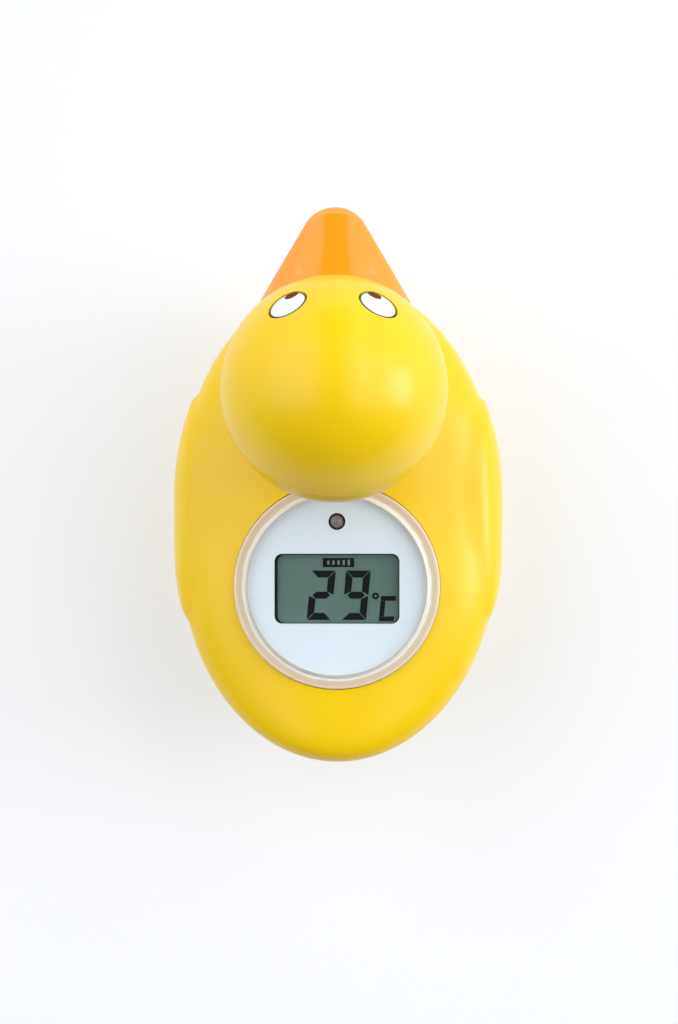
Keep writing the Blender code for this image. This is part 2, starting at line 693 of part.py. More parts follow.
def build_window(materials, axis):
    """Clear cap, its gasket and the white face plate."""
    flange_top = CAP_Z + CAP_FLANGE
    step_radius = SKIRT_RADIUS - GAP
    soft = CAP_SOFT_EDGE
    recess = PLATE_RADIUS + GAP
    profile = [(0.0, CAP_TOP_Z)]
    profile += arc((step_radius - soft, CAP_TOP_Z - soft), soft, 90, 0, 2)
    profile += [(step_radius, flange_top)]
    profile += arc((CAP_RADIUS - soft, flange_top - soft), soft, 90, 0, 2)
    profile += [(CAP_RADIUS, CAP_Z), (SKIRT_RADIUS, CAP_Z), (SKIRT_RADIUS, CAP_Z - CAP_SKIRT)]
    profile += [(SKIRT_BORE, CAP_Z - CAP_SKIRT), (SKIRT_BORE, PLATE_Z), (recess, PLATE_Z)]
    profile += [(recess, WINDOW_Z), (0.0, WINDOW_Z)]
    turned("window_cap", profile, materials["clear"], axis, steps=WINDOW_STEPS)
    ring("cap_gasket", SKIRT_RADIUS + GAP, CAP_RADIUS - GAP, GASKET_Z, GASKET_Z + GASKET_THICKNESS,
         materials["silicone"], axis)
    plate = disc("face_plate", PLATE_RADIUS, PLATE_Z, PLATE_Z + PLATE_THICKNESS, materials["white"], axis)
    window = prism(
        "lcd_window",
        rounded_rectangle(LCD_WINDOW_LENGTH / 2, LCD_WINDOW_WIDTH / 2, LCD_WINDOW_CORNER, (0.0, LCD_BACK)),
        PLATE_Z - PLATE_THICKNESS, PLATE_Z + 2 * PLATE_THICKNESS, parent=axis,
    )
    led_hole = disc("led_hole", LED_RADIUS + GAP / 2, PLATE_Z - GAP, PLATE_Z + PLATE_THICKNESS + GAP,
                    parent=axis, centre=(0.0, -LED_FORWARD), steps=SMALL_STEPS)
    cut(plate, window, led_hole)


def screw(name, x, y, head_low, tip, material, axis, head_up=True):
    """A small slotted screw. Its head stands on head_low, and its shank ends at tip."""
    up = 1 if head_up else -1
    head_top = head_low + up * SCREW_HEAD
    profile = [
        (0.0, head_top), (SCREW_HEAD_RADIUS * SCREW_TAPER, head_top),
        (SCREW_HEAD_RADIUS, head_top - up * SCREW_HEAD * 0.4), (SCREW_HEAD_RADIUS, head_low),
        (SCREW_RADIUS, head_low), (SCREW_RADIUS, tip + up * SCREW_RADIUS), (0.0, tip),
    ]
    if not head_up:
        profile.reverse()
    body = turned(name, profile, material, axis, centre=(x, y), steps=SMALL_STEPS)
    slot_low, slot_high = sorted((head_top - up * SCREW_SLOT, head_top + up * SCREW_SLOT))
    outline = rounded_rectangle(2 * SCREW_HEAD_RADIUS, SCREW_SLOT / 2, SCREW_SLOT / 8, (x, y), 1)
    return cut(body, prism(f"{name}_slot", outline, slot_low, slot_high, parent=axis))


def build_frame(materials, axis):
    """The black frame that holds the LCD glass over the board."""
    middle = (0.0, LCD_BACK)
    half_x = LCD_LENGTH / 2
    half_y = LCD_WIDTH / 2
    rim = GAP + FRAME_WALL
    frame = disc("lcd_frame", INNER_RADIUS + FRAME_WALL, FRAME_Z, FRAME_Z + FRAME_BASE, materials["black"],
                 axis)
    wall_outline = rounded_rectangle(half_x + rim, half_y + rim, FRAME_CORNER, middle, 2)
    wall = prism("frame_wall", wall_outline, FRAME_Z + FRAME_BASE / 2, LCD_Z + LCD_THICKNESS, parent=axis)
    trim = ring("frame_trim", INNER_RADIUS, INNER_RADIUS + 2 * WALL, FRAME_Z - GAP, PLATE_Z, parent=axis)
    pocket_outline = rounded_rectangle(half_x + GAP, half_y + GAP, GLASS_CORNER + GAP, middle, 1)
    pocket = prism("lcd_pocket", pocket_outline, LCD_Z - GAP, PLATE_Z, parent=axis)
    well_middle = (0.0, LCD_BACK + WELL_BACK)
    well_outline = rounded_rectangle(half_x - WELL_MARGIN_X, half_y - WELL_MARGIN_Y, 2 * GAP, well_middle, 2)
    well = prism("frame_well", well_outline, FRAME_Z - GAP, PLATE_Z, parent=axis)
    strip = (0.0, LCD_BACK - half_y + ZEBRA_THICKNESS)
    strip_outline = rounded_rectangle(ZEBRA_LENGTH / 2, ZEBRA_THICKNESS / 2, GAP / 2, strip, 1)
    slot_outline = rounded_rectangle(ZEBRA_LENGTH / 2 + GAP, ZEBRA_THICKNESS / 2 + GAP, GAP / 2, strip, 1)
    join(frame, wall)
    cut(frame, trim, pocket, well, prism("strip_slot", slot_outline, FRAME_Z - GAP, PLATE_Z, parent=axis))
    prism("zebra_strip", strip_outline, FRAME_Z, LCD_Z - GAP, materials["pink_rubber"], axis)
    glass_outline = rounded_rectangle(half_x, half_y, GLASS_CORNER, middle, 1)
    prism("lcd_panel", glass_outline, LCD_Z, LCD_Z + LCD_THICKNESS, materials["lcd"], axis)
    return frame


def build_display(materials, axis):
    """LCD with its frame, circuit board, chip, LED and the four board screws."""
    frame = build_frame(materials, axis)
    led_place = (0.0, -LED_FORWARD)
    cut(frame, disc("led_clearance", LED_RADIUS + LED_RIM + GAP, FRAME_Z - GAP, PLATE_Z, parent=axis,
                    centre=led_place, steps=SMALL_STEPS))
    board = disc("circuit_board", INNER_RADIUS, BOARD_Z, BOARD_TOP_Z, materials["board"], axis)
    led_low = FRAME_Z
    led_top = PLATE_Z + PLATE_THICKNESS - GAP
    profile = arc((0.0, led_top - LED_RADIUS), LED_RADIUS, 90, 0, 5)
    rim_top = led_low + LED_RIM_THICKNESS
    profile += [(LED_RADIUS, rim_top), (LED_RADIUS + LED_RIM, rim_top)]
    profile += [(LED_RADIUS + LED_RIM, led_low), (0.0, led_low)]
    led = turned("warning_led", profile, materials["led"], axis, centre=led_place, steps=SMALL_STEPS)
    for side in (1, -1):
        place = (side * LED_LEG_SPREAD, -LED_FORWARD)
        leg = rounded_rectangle(LED_LEG, LED_LEG, LED_LEG / 5, place, 1)
        join(led, prism(f"led_leg_{side}", leg, BOARD_Z - LED_LEG_END, led_low + GAP, parent=axis))
        cut(board, disc(f"leg_hole_{side}", 2 * LED_LEG + GAP, BOARD_Z - GAP, BOARD_TOP_Z + GAP, parent=axis,
                        centre=place, steps=SMALL_STEPS))
    chip_top = BOARD_Z - GAP
    dome = [(0.0, chip_top), (CHIP_RADIUS, chip_top)]
    for angle in (0, 25, 50, 70, 90):
        turn = math.radians(angle)
        depth = CHIP_EDGE + (CHIP_THICKNESS - CHIP_EDGE) * math.sin(turn)
        dome.append((CHIP_RADIUS * math.cos(turn), chip_top - depth))
    turned("controller_chip", dome, materials["black"], axis, centre=(0.0, LCD_BACK), steps=2 * SMALL_STEPS)
    corners = [(sx * BOARD_SCREW_X, sy * BOARD_SCREW_Y) for sy in (-1, 1) for sx in (-1, 1)]
    for index, (x, y) in enumerate(corners, start=1):
        hole = disc(f"screw_way_{index}", SCREW_RADIUS + GAP, BOARD_Z - GAP, FRAME_Z + FRAME_BASE + GAP,
                    parent=axis, centre=(x, y), steps=SMALL_STEPS)
        cut(board, hole)
        cut(frame, hole)
        seat = FRAME_Z + FRAME_BASE + GAP
        screw(f"board_screw_{index}", x, y, seat, BOSS_TOP_Z - BOARD_SCREW_DEPTH, materials["steel"], axis)
    return corners


def cover_plate(name, grow, low, high, material, axis):
    """The battery cover's form: a round plate with an ear on each side for its screw."""
    ear = COVER_EAR + grow
    radius = COVER_RADIUS + grow
    edge = math.degrees(math.asin(ear / radius))
    middle = (0.0, BAY_BACK)
    outline = arc((COVER_SCREW_X, BAY_BACK), ear, -90, 90, 8)
    outline += arc(middle, radius, edge, 180 - edge, 16)
    outline += arc((-COVER_SCREW_X, BAY_BACK), ear, 90, 270, 8)
    outline += arc(middle, radius, 180 + edge, 360 - edge, 16)
    return prism(name, outline, low, high, material, axis)


def build_housing(materials, axis, corners):
    """The tub that fills the duck from base to back, with its floor, bosses and openings."""
    inner_floor = FLOOR_TOP_Z
    flange_top = HOUSING_LIFT + FLANGE_THICKNESS
    profile = [
        (HOUSING_BORE, HOUSING_TOP_Z), (HOUSING_RADIUS, HOUSING_TOP_Z), (HOUSING_RADIUS, flange_top),
        (FLANGE_RADIUS, flange_top), (FLANGE_RADIUS, HOUSING_LIFT), (0.0, HOUSING_LIFT),
    ]
    profile = [(0.0, inner_floor), (HOUSING_BORE, inner_floor)] + profile
    housing = turned("module_housing", profile, materials["white"], axis)
    for index, (x, y) in enumerate(corners, start=1):
        low = BOSS_TOP_Z - BOARD_BOSS_HEIGHT
        boss = disc(f"board_boss_{index}", BOARD_BOSS_RADIUS, low, BOSS_TOP_Z, parent=axis, centre=(x, y),
                    steps=SMALL_STEPS)
        pilot = disc(f"board_pilot_{index}", SCREW_RADIUS + GAP, low + PILOT_FLOOR, BOSS_TOP_Z + GAP,
                     parent=axis, centre=(x, y), steps=SMALL_STEPS)
        join(housing, boss)
        cut(housing, pilot)
    cut(housing, cover_plate("cover_recess", GAP, HOUSING_LIFT - WALL, LEDGE_Z, None, axis))
    bay = (0.0, BAY_BACK)
    seat_radius = BAY_BORE + SEAL_WIDTH + 2 * GAP
    seal_seat = disc("seal_seat", seat_radius, LEDGE_Z - GAP, SEAL_SEAT_Z, parent=axis, centre=bay)
    bay_hole = disc("bay_hole", BAY_BORE, LEDGE_Z - GAP, inner_floor + WALL, parent=axis, centre=bay)
    cut(housing, seal_seat, bay_hole)
    for side in (1, -1):
        place = (side * COVER_SCREW_X, BAY_BACK)
        boss = disc(f"cover_boss_{side}", COVER_BOSS, inner_floor - GAP, TRAY_Z - GAP, parent=axis,
                    centre=place, steps=SMALL_STEPS)
        pilot = disc(f"cover_pilot_{side}", SCREW_RADIUS + GAP, HOUSING_LIFT, TRAY_Z - 3 * GAP, parent=axis,
                     centre=place, steps=SMALL_STEPS)
        join(housing, boss)
        cut(housing, pilot)
    for name, x, y, radius in water_parts():
        boss = disc(f"{name}_boss", radius + GAP + WATER_BOSS_WALL, inner_floor - GAP, TRAY_Z - GAP,
                    parent=axis, centre=(x, y), steps=SMALL_STEPS)
        way = disc(f"{name}_way", radius + GAP, HOUSING_LIFT - WALL, TRAY_Z + GAP, parent=axis, centre=(x, y),
                   steps=SMALL_STEPS)
        join(housing, boss)
        cut(housing, way)
    return use_manifold(housing)


def water_parts():
    """Name, place and radius of what passes through the floor into the water."""
    return [
        ("probe_cap", 0.0, -PROBE_FORWARD, PROBE_RADIUS),
        ("water_pin_1", -PIN_SPREAD, -PIN_FORWARD, PIN_RADIUS),
        ("water_pin_2", PIN_SPREAD, -PIN_FORWARD, PIN_RADIUS),
    ]


def build_battery(materials, axis):
    """Cover, seal, screws, coin cell, tray and the two spring contacts."""
    cover = cover_plate("battery_cover", 0.0, HOUSING_LIFT, COVER_TOP_Z, materials["white"], axis)
    bay = (0.0, BAY_BACK)
    seal_inner = BAY_BORE + GAP
    ring("cover_seal", seal_inner, seal_inner + SEAL_WIDTH, LEDGE_Z, LEDGE_Z + SEAL_THICKNESS,
         materials["black_rubber"], axis, centre=bay)
    for index, side in enumerate((-1, 1), start=1):
        place = (side * COVER_SCREW_X, BAY_BACK)
        head_seat = HOUSING_LIFT + SCREW_HEAD + GAP
        cut(cover, disc(f"cover_head_way_{index}", SCREW_HEAD_RADIUS + GAP, -GAP, head_seat, parent=axis,
                        centre=place, steps=SMALL_STEPS))
        cut(cover, disc(f"cover_shank_way_{index}", SCREW_RADIUS + GAP, 0.0, COVER_TOP_Z + GAP, parent=axis,
                        centre=place, steps=SMALL_STEPS))
        screw(f"cover_screw_{index}", *place, head_seat - GAP, TRAY_Z - 5 * GAP, materials["steel"], axis,
              head_up=False)
    can = CELL_RADIUS - CELL_CAN
    edge = CELL_RADIUS - CELL_EDGE
    cell = [(0.0, CELL_TOP_Z), (can, CELL_TOP_Z), (can, CELL_TOP_Z - CELL_RIM / 2)]
    cell.append((edge, CELL_TOP_Z - CELL_RIM))
    cell += [(CELL_RADIUS, CELL_TOP_Z - 1.5 * CELL_RIM), (CELL_RADIUS, CELL_Z + CELL_EDGE)]
    cell += [(edge, CELL_Z), (0.0, CELL_Z)]
    turned("coin_cell", cell, materials["steel"], axis, centre=bay)
    tray = disc("battery_tray", INNER_RADIUS, TRAY_Z, TRAY_TOP_Z, materials["black"], axis)
    for name, x, y, radius in water_parts():
        cut(tray, disc(f"{name}_tray_way", radius + 2 * GAP, TRAY_Z - GAP, TRAY_TOP_Z + GAP, parent=axis,
                       centre=(x, y), steps=SMALL_STEPS))
    tabs = {}
    half = CONTACT_WIDTH / 2
    leaf = CONTACT_THICKNESS
    tab_top = TRAY_TOP_Z + CONTACT_TAB
    shelf = TRAY_Z - GAP
    wipe = CELL_TOP_Z + GAP
    wipe_start = BAY_BACK - CONTACT_OFFSET
    wipe_end = wipe_start + CONTACT_WIPE
    shelf_start = wipe_end + CONTACT_RISE
    shelf_end = shelf_start + CONTACT_SHELF
    negative = [(wipe_start, wipe), (wipe_end, wipe), (shelf_start, shelf - leaf), (shelf_end, shelf - leaf),
                (shelf_end, tab_top)]
    side_y = BAY_BACK + CELL_RADIUS + GAP
    positive = [(side_y, CELL_Z + CELL_THICKNESS / 2 + 2 * GAP), (side_y, tab_top)]
    for name, path in (("negative_contact", negative), ("positive_contact", positive)):
        bent_strip(name, path, half, leaf, materials["brass"], axis)
        tabs[name] = path[-1][0] + leaf / 2
        slot = rounded_rectangle(half + GAP, leaf / 2 + GAP, GAP / 3, (0.0, tabs[name]), 1)
        cut(tray, prism(f"{name}_slot", slot, TRAY_Z - GAP, TRAY_TOP_Z + GAP, parent=axis))
    use_manifold(tray)
    return tabs, tab_top


def bent_strip(name, path, half_width, thickness, material, parent):
    """A spring strip bent in the YZ plane along a path, extruded across X."""
    offset = []
    for index, (y, z) in enumerate(path):
        before = Vector(path[max(index - 1, 0)])
        after = Vector(path[min(index + 1, len(path) - 1)])
        here = Vector((y, z))
        first = (here - before).normalized() if index else (after - here).normalized()
        second = (after - here).normalized() if index < len(path) - 1 else first
        normal_first = Vector((first.y, -first.x))
        normal_second = Vector((second.y, -second.x))
        bisector = (normal_first + normal_second).normalized()
        offset.append(here + bisector * (thickness / bisector.dot(normal_first)))
    outline = [Vector(point) for point in path] + offset[::-1]
    bm = bmesh.new()
    face = bm.faces.new([bm.verts.new((-half_width, point.x, point.y)) for point in outline])
    grown = bmesh.ops.extrude_face_region(bm, geom=[face])
    moved = [item for item in grown["geom"] if isinstance(item, bmesh.types.BMVert)]
    bmesh.ops.translate(bm, vec=(2 * half_width, 0.0, 0.0), verts=moved)
    return object_from_bmesh(name, bm, material, parent)


def build_water_parts(materials, axis):
    """The steel probe cap with its thermistor and the two pins that sense water."""
    low = PROBE_LIFT
    top = low + PROBE_HEIGHT
    bore = PROBE_RADIUS - PROBE_WALL
    bowl = low + PROBE_WALL + PROBE_BOWL
    cap = [(0.0, low + PROBE_WALL), (bore, bowl), (bore, top), (PROBE_RADIUS, top)]
    cap += arc((PROBE_RADIUS - PROBE_ROUND, low + PROBE_ROUND), PROBE_ROUND, 0, -90, 3)
    cap.append((0.0, low))
    turned("probe_cap", cap, materials["steel"], axis, centre=(0.0, -PROBE_FORWARD), steps=SMALL_STEPS)
    bead_middle = bowl + THERMISTOR_RADIUS + GAP
    bead = arc((0.0, bead_middle), THERMISTOR_RADIUS, 90, -90, 8)
    turned("thermistor", bead, materials["black"], axis, centre=(0.0, -PROBE_FORWARD), steps=SMALL_STEPS)
    for index, side in enumerate((-1, 1), start=1):
        pin = [(0.0, top), (PIN_RADIUS, top), (PIN_RADIUS, HOUSING_LIFT - GAP / 2)]
        pin += [(PIN_RADIUS - PIN_EDGE, low), (0.0, low)]
        place = (side * PIN_SPREAD, -PIN_FORWARD)
        turned(f"water_pin_{index}", pin, materials["steel"], axis, centre=place, steps=SMALL_STEPS)
    return bead_middle + THERMISTOR_RADIUS, top


def lead(name, start, end, material, parent):
    """An insulated lead on a smooth curve that bows towards the middle of the module."""
    first = Vector(start)
    last = Vector(end)
    span = last - first
    bow = Vector((-first.x, -first.y, 0.0))
    bow = bow.normalized() * LEAD_SAG if bow.length > MM else Vector((LEAD_SAG, 0.0, 0.0))
    upright = Vector((0.0, 0.0, span.z * 0.35))
    controls = (first, first + upright, last - upright, last)
    curve = bpy.data.curves.new(name, "CURVE")
    curve.dimensions = "3D"
    curve.bevel_depth = LEAD_RADIUS
    curve.bevel_resolution = 2
    curve.use_fill_caps = True
    count = 9
    spline = curve.splines.new("POLY")
    spline.points.add(count - 1)
    for index in range(count):
        t = index / (count - 1)
        weights = ((1 - t) ** 3, 3 * t * (1 - t) ** 2, 3 * t * t * (1 - t), t**3)
        point = sum((weight * control for weight, control in zip(weights, controls)), Vector())
        point += bow * math.sin(math.pi * t) ** 2
        spline.points[index].co = (*point, 1.0)
    curve.materials.append(material)
    obj = bpy.data.objects.new(name, curve)
    bpy.context.scene.collection.objects.link(obj)
    obj.parent = parent
    return obj


def build_leads(materials, axis, bead_top, pin_top, tabs, tab_top):
    """Leads from the probe, the pins and the battery contacts up to the board."""
    end_z = BOARD_Z - GAP
    bead = (0.0, -PROBE_FORWARD, bead_top + GAP)
    lead("probe_lead", bead, (0.0, PROBE_PAD_Y, end_z), materials["lead_white"], axis)
    for index, side in enumerate((-1, 1), start=1):
        pin = (side * PIN_SPREAD, -PIN_FORWARD, pin_top + GAP)
        pad = (side * PIN_PAD_X, PIN_PAD_Y, end_z)
        lead(f"pin_lead_{index}", pin, pad, materials["lead_blue"], axis)
    negative = (0.0, tabs["negative_contact"], tab_top + GAP)
    positive = (0.0, tabs["positive_contact"], tab_top + GAP)
    lead("negative_lead", negative, (-BATTERY_PAD_X, NEGATIVE_PAD_Y, end_z), materials["lead_black"], axis)
    lead("positive_lead", positive, (BATTERY_PAD_X, POSITIVE_PAD_Y, end_z), materials["lead_red"], axis)


def build_materials():
    """One material for each kind of finish."""
    return {
        "vinyl": principled("satin yellow vinyl", (0.93, 0.62, 0.03), 0.42),
        "orange": principled("gloss orange plastic", (0.95, 0.30, 0.02), 0.18),
        "clear": principled("clear polycarbonate", (0.95, 0.95, 0.93), 0.05, transmission=0.9),
        "silicone": principled("pale silicone", (0.80, 0.70, 0.55), 0.5),
        "white": principled("white ABS", (0.80, 0.83, 0.88), 0.35),
        "lcd": principled("LCD glass", (0.20, 0.24, 0.22), 0.12),
        "black": principled("black plastic", (0.02, 0.02, 0.02), 0.4),
        "pink_rubber": principled("zebra strip rubber", (0.55, 0.25, 0.22), 0.6),
        "board": principled("green circuit board", (0.02, 0.18, 0.08), 0.35),
        "led": principled("clear LED epoxy", (0.45, 0.40, 0.38), 0.1, transmission=0.6),
        "steel": principled("stainless steel", (0.60, 0.60, 0.62), 0.25, 1.0),
        "brass": principled("nickelled brass", (0.70, 0.62, 0.42), 0.3, 1.0),
        "black_rubber": principled("black seal rubber", (0.02, 0.02, 0.02), 0.7),
        "lead_white": principled("white lead", (0.80, 0.80, 0.80), 0.5),
        "lead_blue": principled("blue lead", (0.05, 0.15, 0.60), 0.5),
        "lead_black": principled("black lead", (0.02, 0.02, 0.02), 0.5),
        "lead_red": principled("red lead", (0.60, 0.03, 0.02), 0.5),
    }


def main():
    """Builds the duck, its beak and the thermometer module."""
    clear_scene()
    materials = build_materials()
    build_duck(materials)
    build_beak(materials)
    axis = bpy.data.objects.new("module_axis", None)
    bpy.context.scene.collection.objects.link(axis)
    axis.location = (0.0, MODULE_Y, 0.0)
    build_window(materials, axis)
    corners = build_display(materials, axis)
    build_housing(materials, axis, corners)
    tabs, tab_top = build_battery(materials, axis)
    bead_top, pin_top = build_water_parts(materials, axis)
    build_leads(materials, axis, bead_top, pin_top, tabs, tab_top)
    bpy.context.view_layer.update()


main()
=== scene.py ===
"""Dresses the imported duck-shaped bath thermometer for its studio picture.

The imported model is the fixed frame. The vinyl duck, its beak, the window end of the module and what
shows under the base are built again here with finer meshes from the same sizes, and every other node
keeps its mesh and takes a procedural finish.
"""

import logging
import math
from dataclasses import dataclass, field
from enum import Enum

import bmesh
import bpy
import numpy as np
from bmesh.types import BMesh
from bpy.types import ID, Material, Node, NodeSocket, NodeTree, Object
from mathutils import Matrix, Vector

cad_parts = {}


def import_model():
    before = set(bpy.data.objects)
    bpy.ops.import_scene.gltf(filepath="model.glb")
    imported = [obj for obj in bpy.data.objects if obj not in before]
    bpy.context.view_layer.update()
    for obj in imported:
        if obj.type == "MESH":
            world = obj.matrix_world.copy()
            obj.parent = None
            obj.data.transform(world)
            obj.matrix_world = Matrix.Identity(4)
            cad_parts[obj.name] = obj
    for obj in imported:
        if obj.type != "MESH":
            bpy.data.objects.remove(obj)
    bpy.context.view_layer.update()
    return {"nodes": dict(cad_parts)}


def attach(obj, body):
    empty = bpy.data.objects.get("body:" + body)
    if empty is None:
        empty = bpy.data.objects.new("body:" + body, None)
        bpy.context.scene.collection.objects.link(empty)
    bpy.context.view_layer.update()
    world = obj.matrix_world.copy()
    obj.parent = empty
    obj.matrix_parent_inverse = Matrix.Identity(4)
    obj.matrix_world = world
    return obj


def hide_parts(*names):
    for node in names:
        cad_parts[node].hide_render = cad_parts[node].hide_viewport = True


MM = 0.001
GAP = 0.3 * MM
MERGE = 0.001 * MM
SHARP_ANGLE = math.radians(32)
IMAGE_HEIGHT = 1024

Value = float | NodeSocket
Pair = tuple[float, float]
Point = tuple[float, float, float]
Profile = list[Pair]

log = logging.getLogger("duck")


def linear(colour: str) -> tuple[float, float, float, float]:
    """Turns an sRGB hex colour to the linear colour that a shader socket takes.

    Args:
        colour: Six hex digits.

    Returns:
        Linear red, green, blue and an alpha of 1.
    """
    parts = [int(colour[index:index + 2], 16) / 255 for index in (0, 2, 4)]
    parts = [part / 12.92 if part <= 0.04045 else ((part + 0.055) / 1.055) ** 2.4 for part in parts]
    return (*parts, 1.0)


def add_node(tree: NodeTree, kind: str, settings: dict | None = None, inputs: dict | None = None) -> Node:
    """Adds a node with its settings, its values and its links.

    Args:
        tree: The tree that the node goes into.
        kind: The node's type name.
        settings: Properties of the node itself.
        inputs: Values for its inputs, or the outputs that they are linked to, by name or number.

    Returns:
        The new node.
    """
    node = tree.nodes.new(kind)
    for key, value in (settings or {}).items():
        setattr(node, key, value)
    for key, value in (inputs or {}).items():
        if isinstance(value, NodeSocket):
            tree.links.new(value, node.inputs[key])
        else:
            node.inputs[key].default_value = value
    return node


def maths(tree: NodeTree, operation: str, *values: Value) -> NodeSocket:
    """Adds one step of arithmetic."""
    node = add_node(tree, "ShaderNodeMath", {"operation": operation}, dict(enumerate(values)))
    return node.outputs["Value"]


def object_place(tree: NodeTree) -> NodeSocket:
    """The place on the piece, which every pattern starts from."""
    return add_node(tree, "ShaderNodeTexCoord").outputs["Object"]


def noise(tree: NodeTree, place: NodeSocket, size_mm: float, **inputs: float) -> NodeSocket:
    """Soft noise, with its cell size in millimetres."""
    values = {"Vector": place, "Scale": 1000 / size_mm, **inputs}
    return add_node(tree, "ShaderNodeTexNoise", inputs=values).outputs["Fac"]


def wave_scale(pitch_mm: float) -> float:
    """The scale at which a wave texture, which turns 20 radians a unit, has the given pitch."""
    return math.tau * 1000 / (20 * pitch_mm)


def two_tone(tree: NodeTree, share: Value, first: str, second: str) -> NodeSocket:
    """Mixes two hex colours by a share."""
    values = {0: share, 6: linear(first), 7: linear(second)}
    return add_node(tree, "ShaderNodeMix", {"data_type": "RGBA"}, values).outputs[2]


def spread(tree: NodeTree, value: Value, low: float, high: float) -> NodeSocket:
    """Spreads a pattern's 0 to 1 over a range."""
    return add_node(tree, "ShaderNodeMapRange", inputs={
        "Value": value, "To Min": low, "To Max": high}).outputs["Result"]


def relief(tree: NodeTree, height: Value, depth_mm: float, strength: float = 1.0) -> NodeSocket:
    """Turns a pattern into a bump of the given depth."""
    return add_node(tree, "ShaderNodeBump", inputs={
        "Height": height, "Distance": depth_mm * MM, "Strength": strength}).outputs["Normal"]


def principled(tree: NodeTree, inputs: dict) -> NodeSocket:
    """Adds a Principled shader."""
    return add_node(tree, "ShaderNodeBsdfPrincipled", inputs=inputs).outputs["BSDF"]


def mixed(tree: NodeTree, share: Value, first: NodeSocket, second: NodeSocket) -> NodeSocket:
    """Mixes two shaders by a share."""
    return add_node(tree, "ShaderNodeMixShader", inputs={0: share, 1: first, 2: second}).outputs["Shader"]


@dataclass(frozen=True)
class Finish:
    """What a piece is made of and how its surface was made."""

    name: str

    def material(self) -> Material:
        """Makes the material on first use.

        Returns:
            The material of this name.
        """
        found = bpy.data.materials.get(self.name)
        if found:
            return found
        made = bpy.data.materials.new(self.name)
        made.use_nodes = True
        tree = made.node_tree
        tree.nodes.clear()
        add_node(tree, "ShaderNodeOutputMaterial", inputs={"Surface": self.surface(tree)})
        return made

    def surface(self, tree: NodeTree) -> NodeSocket:
        """Builds the finish's own nodes and returns the shader's output."""
        raise NotImplementedError


@dataclass(frozen=True)
class Moulded(Finish):
    """A moulded plastic or rubber: soft patches of colour, a fine skin grain and uneven gloss."""

    colour: str = "FFFFFF"
    shade: str = "EEEEEE"
    roughness: float = 0.4
    roughness_spread: float = 0.05
    patch_mm: float = 18.0
    grain_mm: float = 0.5
    grain_depth_mm: float = 0.01
    coat: float = 0.0
    coat_roughness: float = 0.1
    subsurface: float = 0.0
    subsurface_mm: float = 2.0
    subsurface_tint: tuple[float, float, float] = (1.0, 0.6, 0.2)
    ior: float = 1.5

    def surface(self, tree: NodeTree) -> NodeSocket:
        """Mixes two close shades in soft patches and adds the grain as a bump.

        Args:
            tree: The material's tree.

        Returns:
            The Principled shader's output.
        """
        place = object_place(tree)
        patches = noise(tree, place, self.patch_mm, Detail=2.0, Roughness=0.5)
        grain = noise(tree, place, self.grain_mm, Detail=2.0)
        low, high = self.roughness - self.roughness_spread, self.roughness + self.roughness_spread
        return principled(tree, {
            "Base Color": two_tone(tree, patches, self.colour, self.shade), "IOR": self.ior,
            "Roughness": spread(tree, grain, low, high), "Normal": relief(tree, grain, self.grain_depth_mm),
            "Coat Weight": self.coat, "Coat Roughness": self.coat_roughness,
            "Subsurface Weight": self.subsurface, "Subsurface Scale": self.subsurface_mm * MM,
            "Subsurface Radius": self.subsurface_tint})


@dataclass(frozen=True)
class TurnedMetal(Finish):
    """A bright metal with the fine rings or lines that its tool left."""

    colour: str = "C8C8CA"
    roughness: float = 0.24
    roughness_spread: Pair = (0.05, 0.06)
    pitch_mm: float = 0.754
    line_depth_mm: float = 0.002
    rings: bool = True

    def surface(self, tree: NodeTree) -> NodeSocket:
        """Lays tool lines over a plain metal.

        Args:
            tree: The material's tree.

        Returns:
            The Principled shader's output.
        """
        lines = add_node(tree, "ShaderNodeTexWave", {
            "wave_type": "RINGS" if self.rings else "BANDS",
            "rings_direction": "Z", "bands_direction": "Y"}, {
            "Vector": object_place(tree), "Scale": wave_scale(self.pitch_mm), "Distortion": 1.5,
            "Detail": 2.0}).outputs["Fac"]
        less, more = self.roughness_spread
        return principled(tree, {
            "Base Color": linear(self.colour), "Metallic": 1.0,
            "Roughness": spread(tree, lines, self.roughness - less, self.roughness + more),
            "Normal": relief(tree, lines, self.line_depth_mm, 0.6)})


def edge_share(tree: NodeTree, ior: float) -> NodeSocket:
    """How much a clear wall mirrors at each angle, the same when the ray leaves it as when it enters.

    Args:
        tree: The material's tree.
        ior: The refractive index.

    Returns:
        The share as an output.
    """
    leaving = add_node(tree, "ShaderNodeNewGeometry").outputs["Backfacing"]
    index = add_node(tree, "ShaderNodeMix", {"data_type": "FLOAT"}, {0: leaving, 2: ior, 3: 1 / ior})
    return add_node(tree, "ShaderNodeFresnel", inputs={"IOR": index.outputs[0]}).outputs["Fac"]


def clear_wall(tree: NodeTree, tint: str, shine: str, roughness: Value, ior: float) -> NodeSocket:
    """A see-through wall that mirrors towards its edges.

    Args:
        tree: The material's tree.
        tint: The colour that it lets through.
        shine: The colour of what it mirrors.
        roughness: The roughness of what it mirrors.
        ior: The refractive index.

    Returns:
        The mixed shader's output.
    """
    clear = add_node(tree, "ShaderNodeBsdfTransparent", inputs={"Color": linear(tint)}).outputs["BSDF"]
    gloss = add_node(tree, "ShaderNodeBsdfGlossy", inputs={
        "Color": linear(shine), "Roughness": roughness}).outputs["BSDF"]
    return mixed(tree, edge_share(tree, ior), clear, gloss)


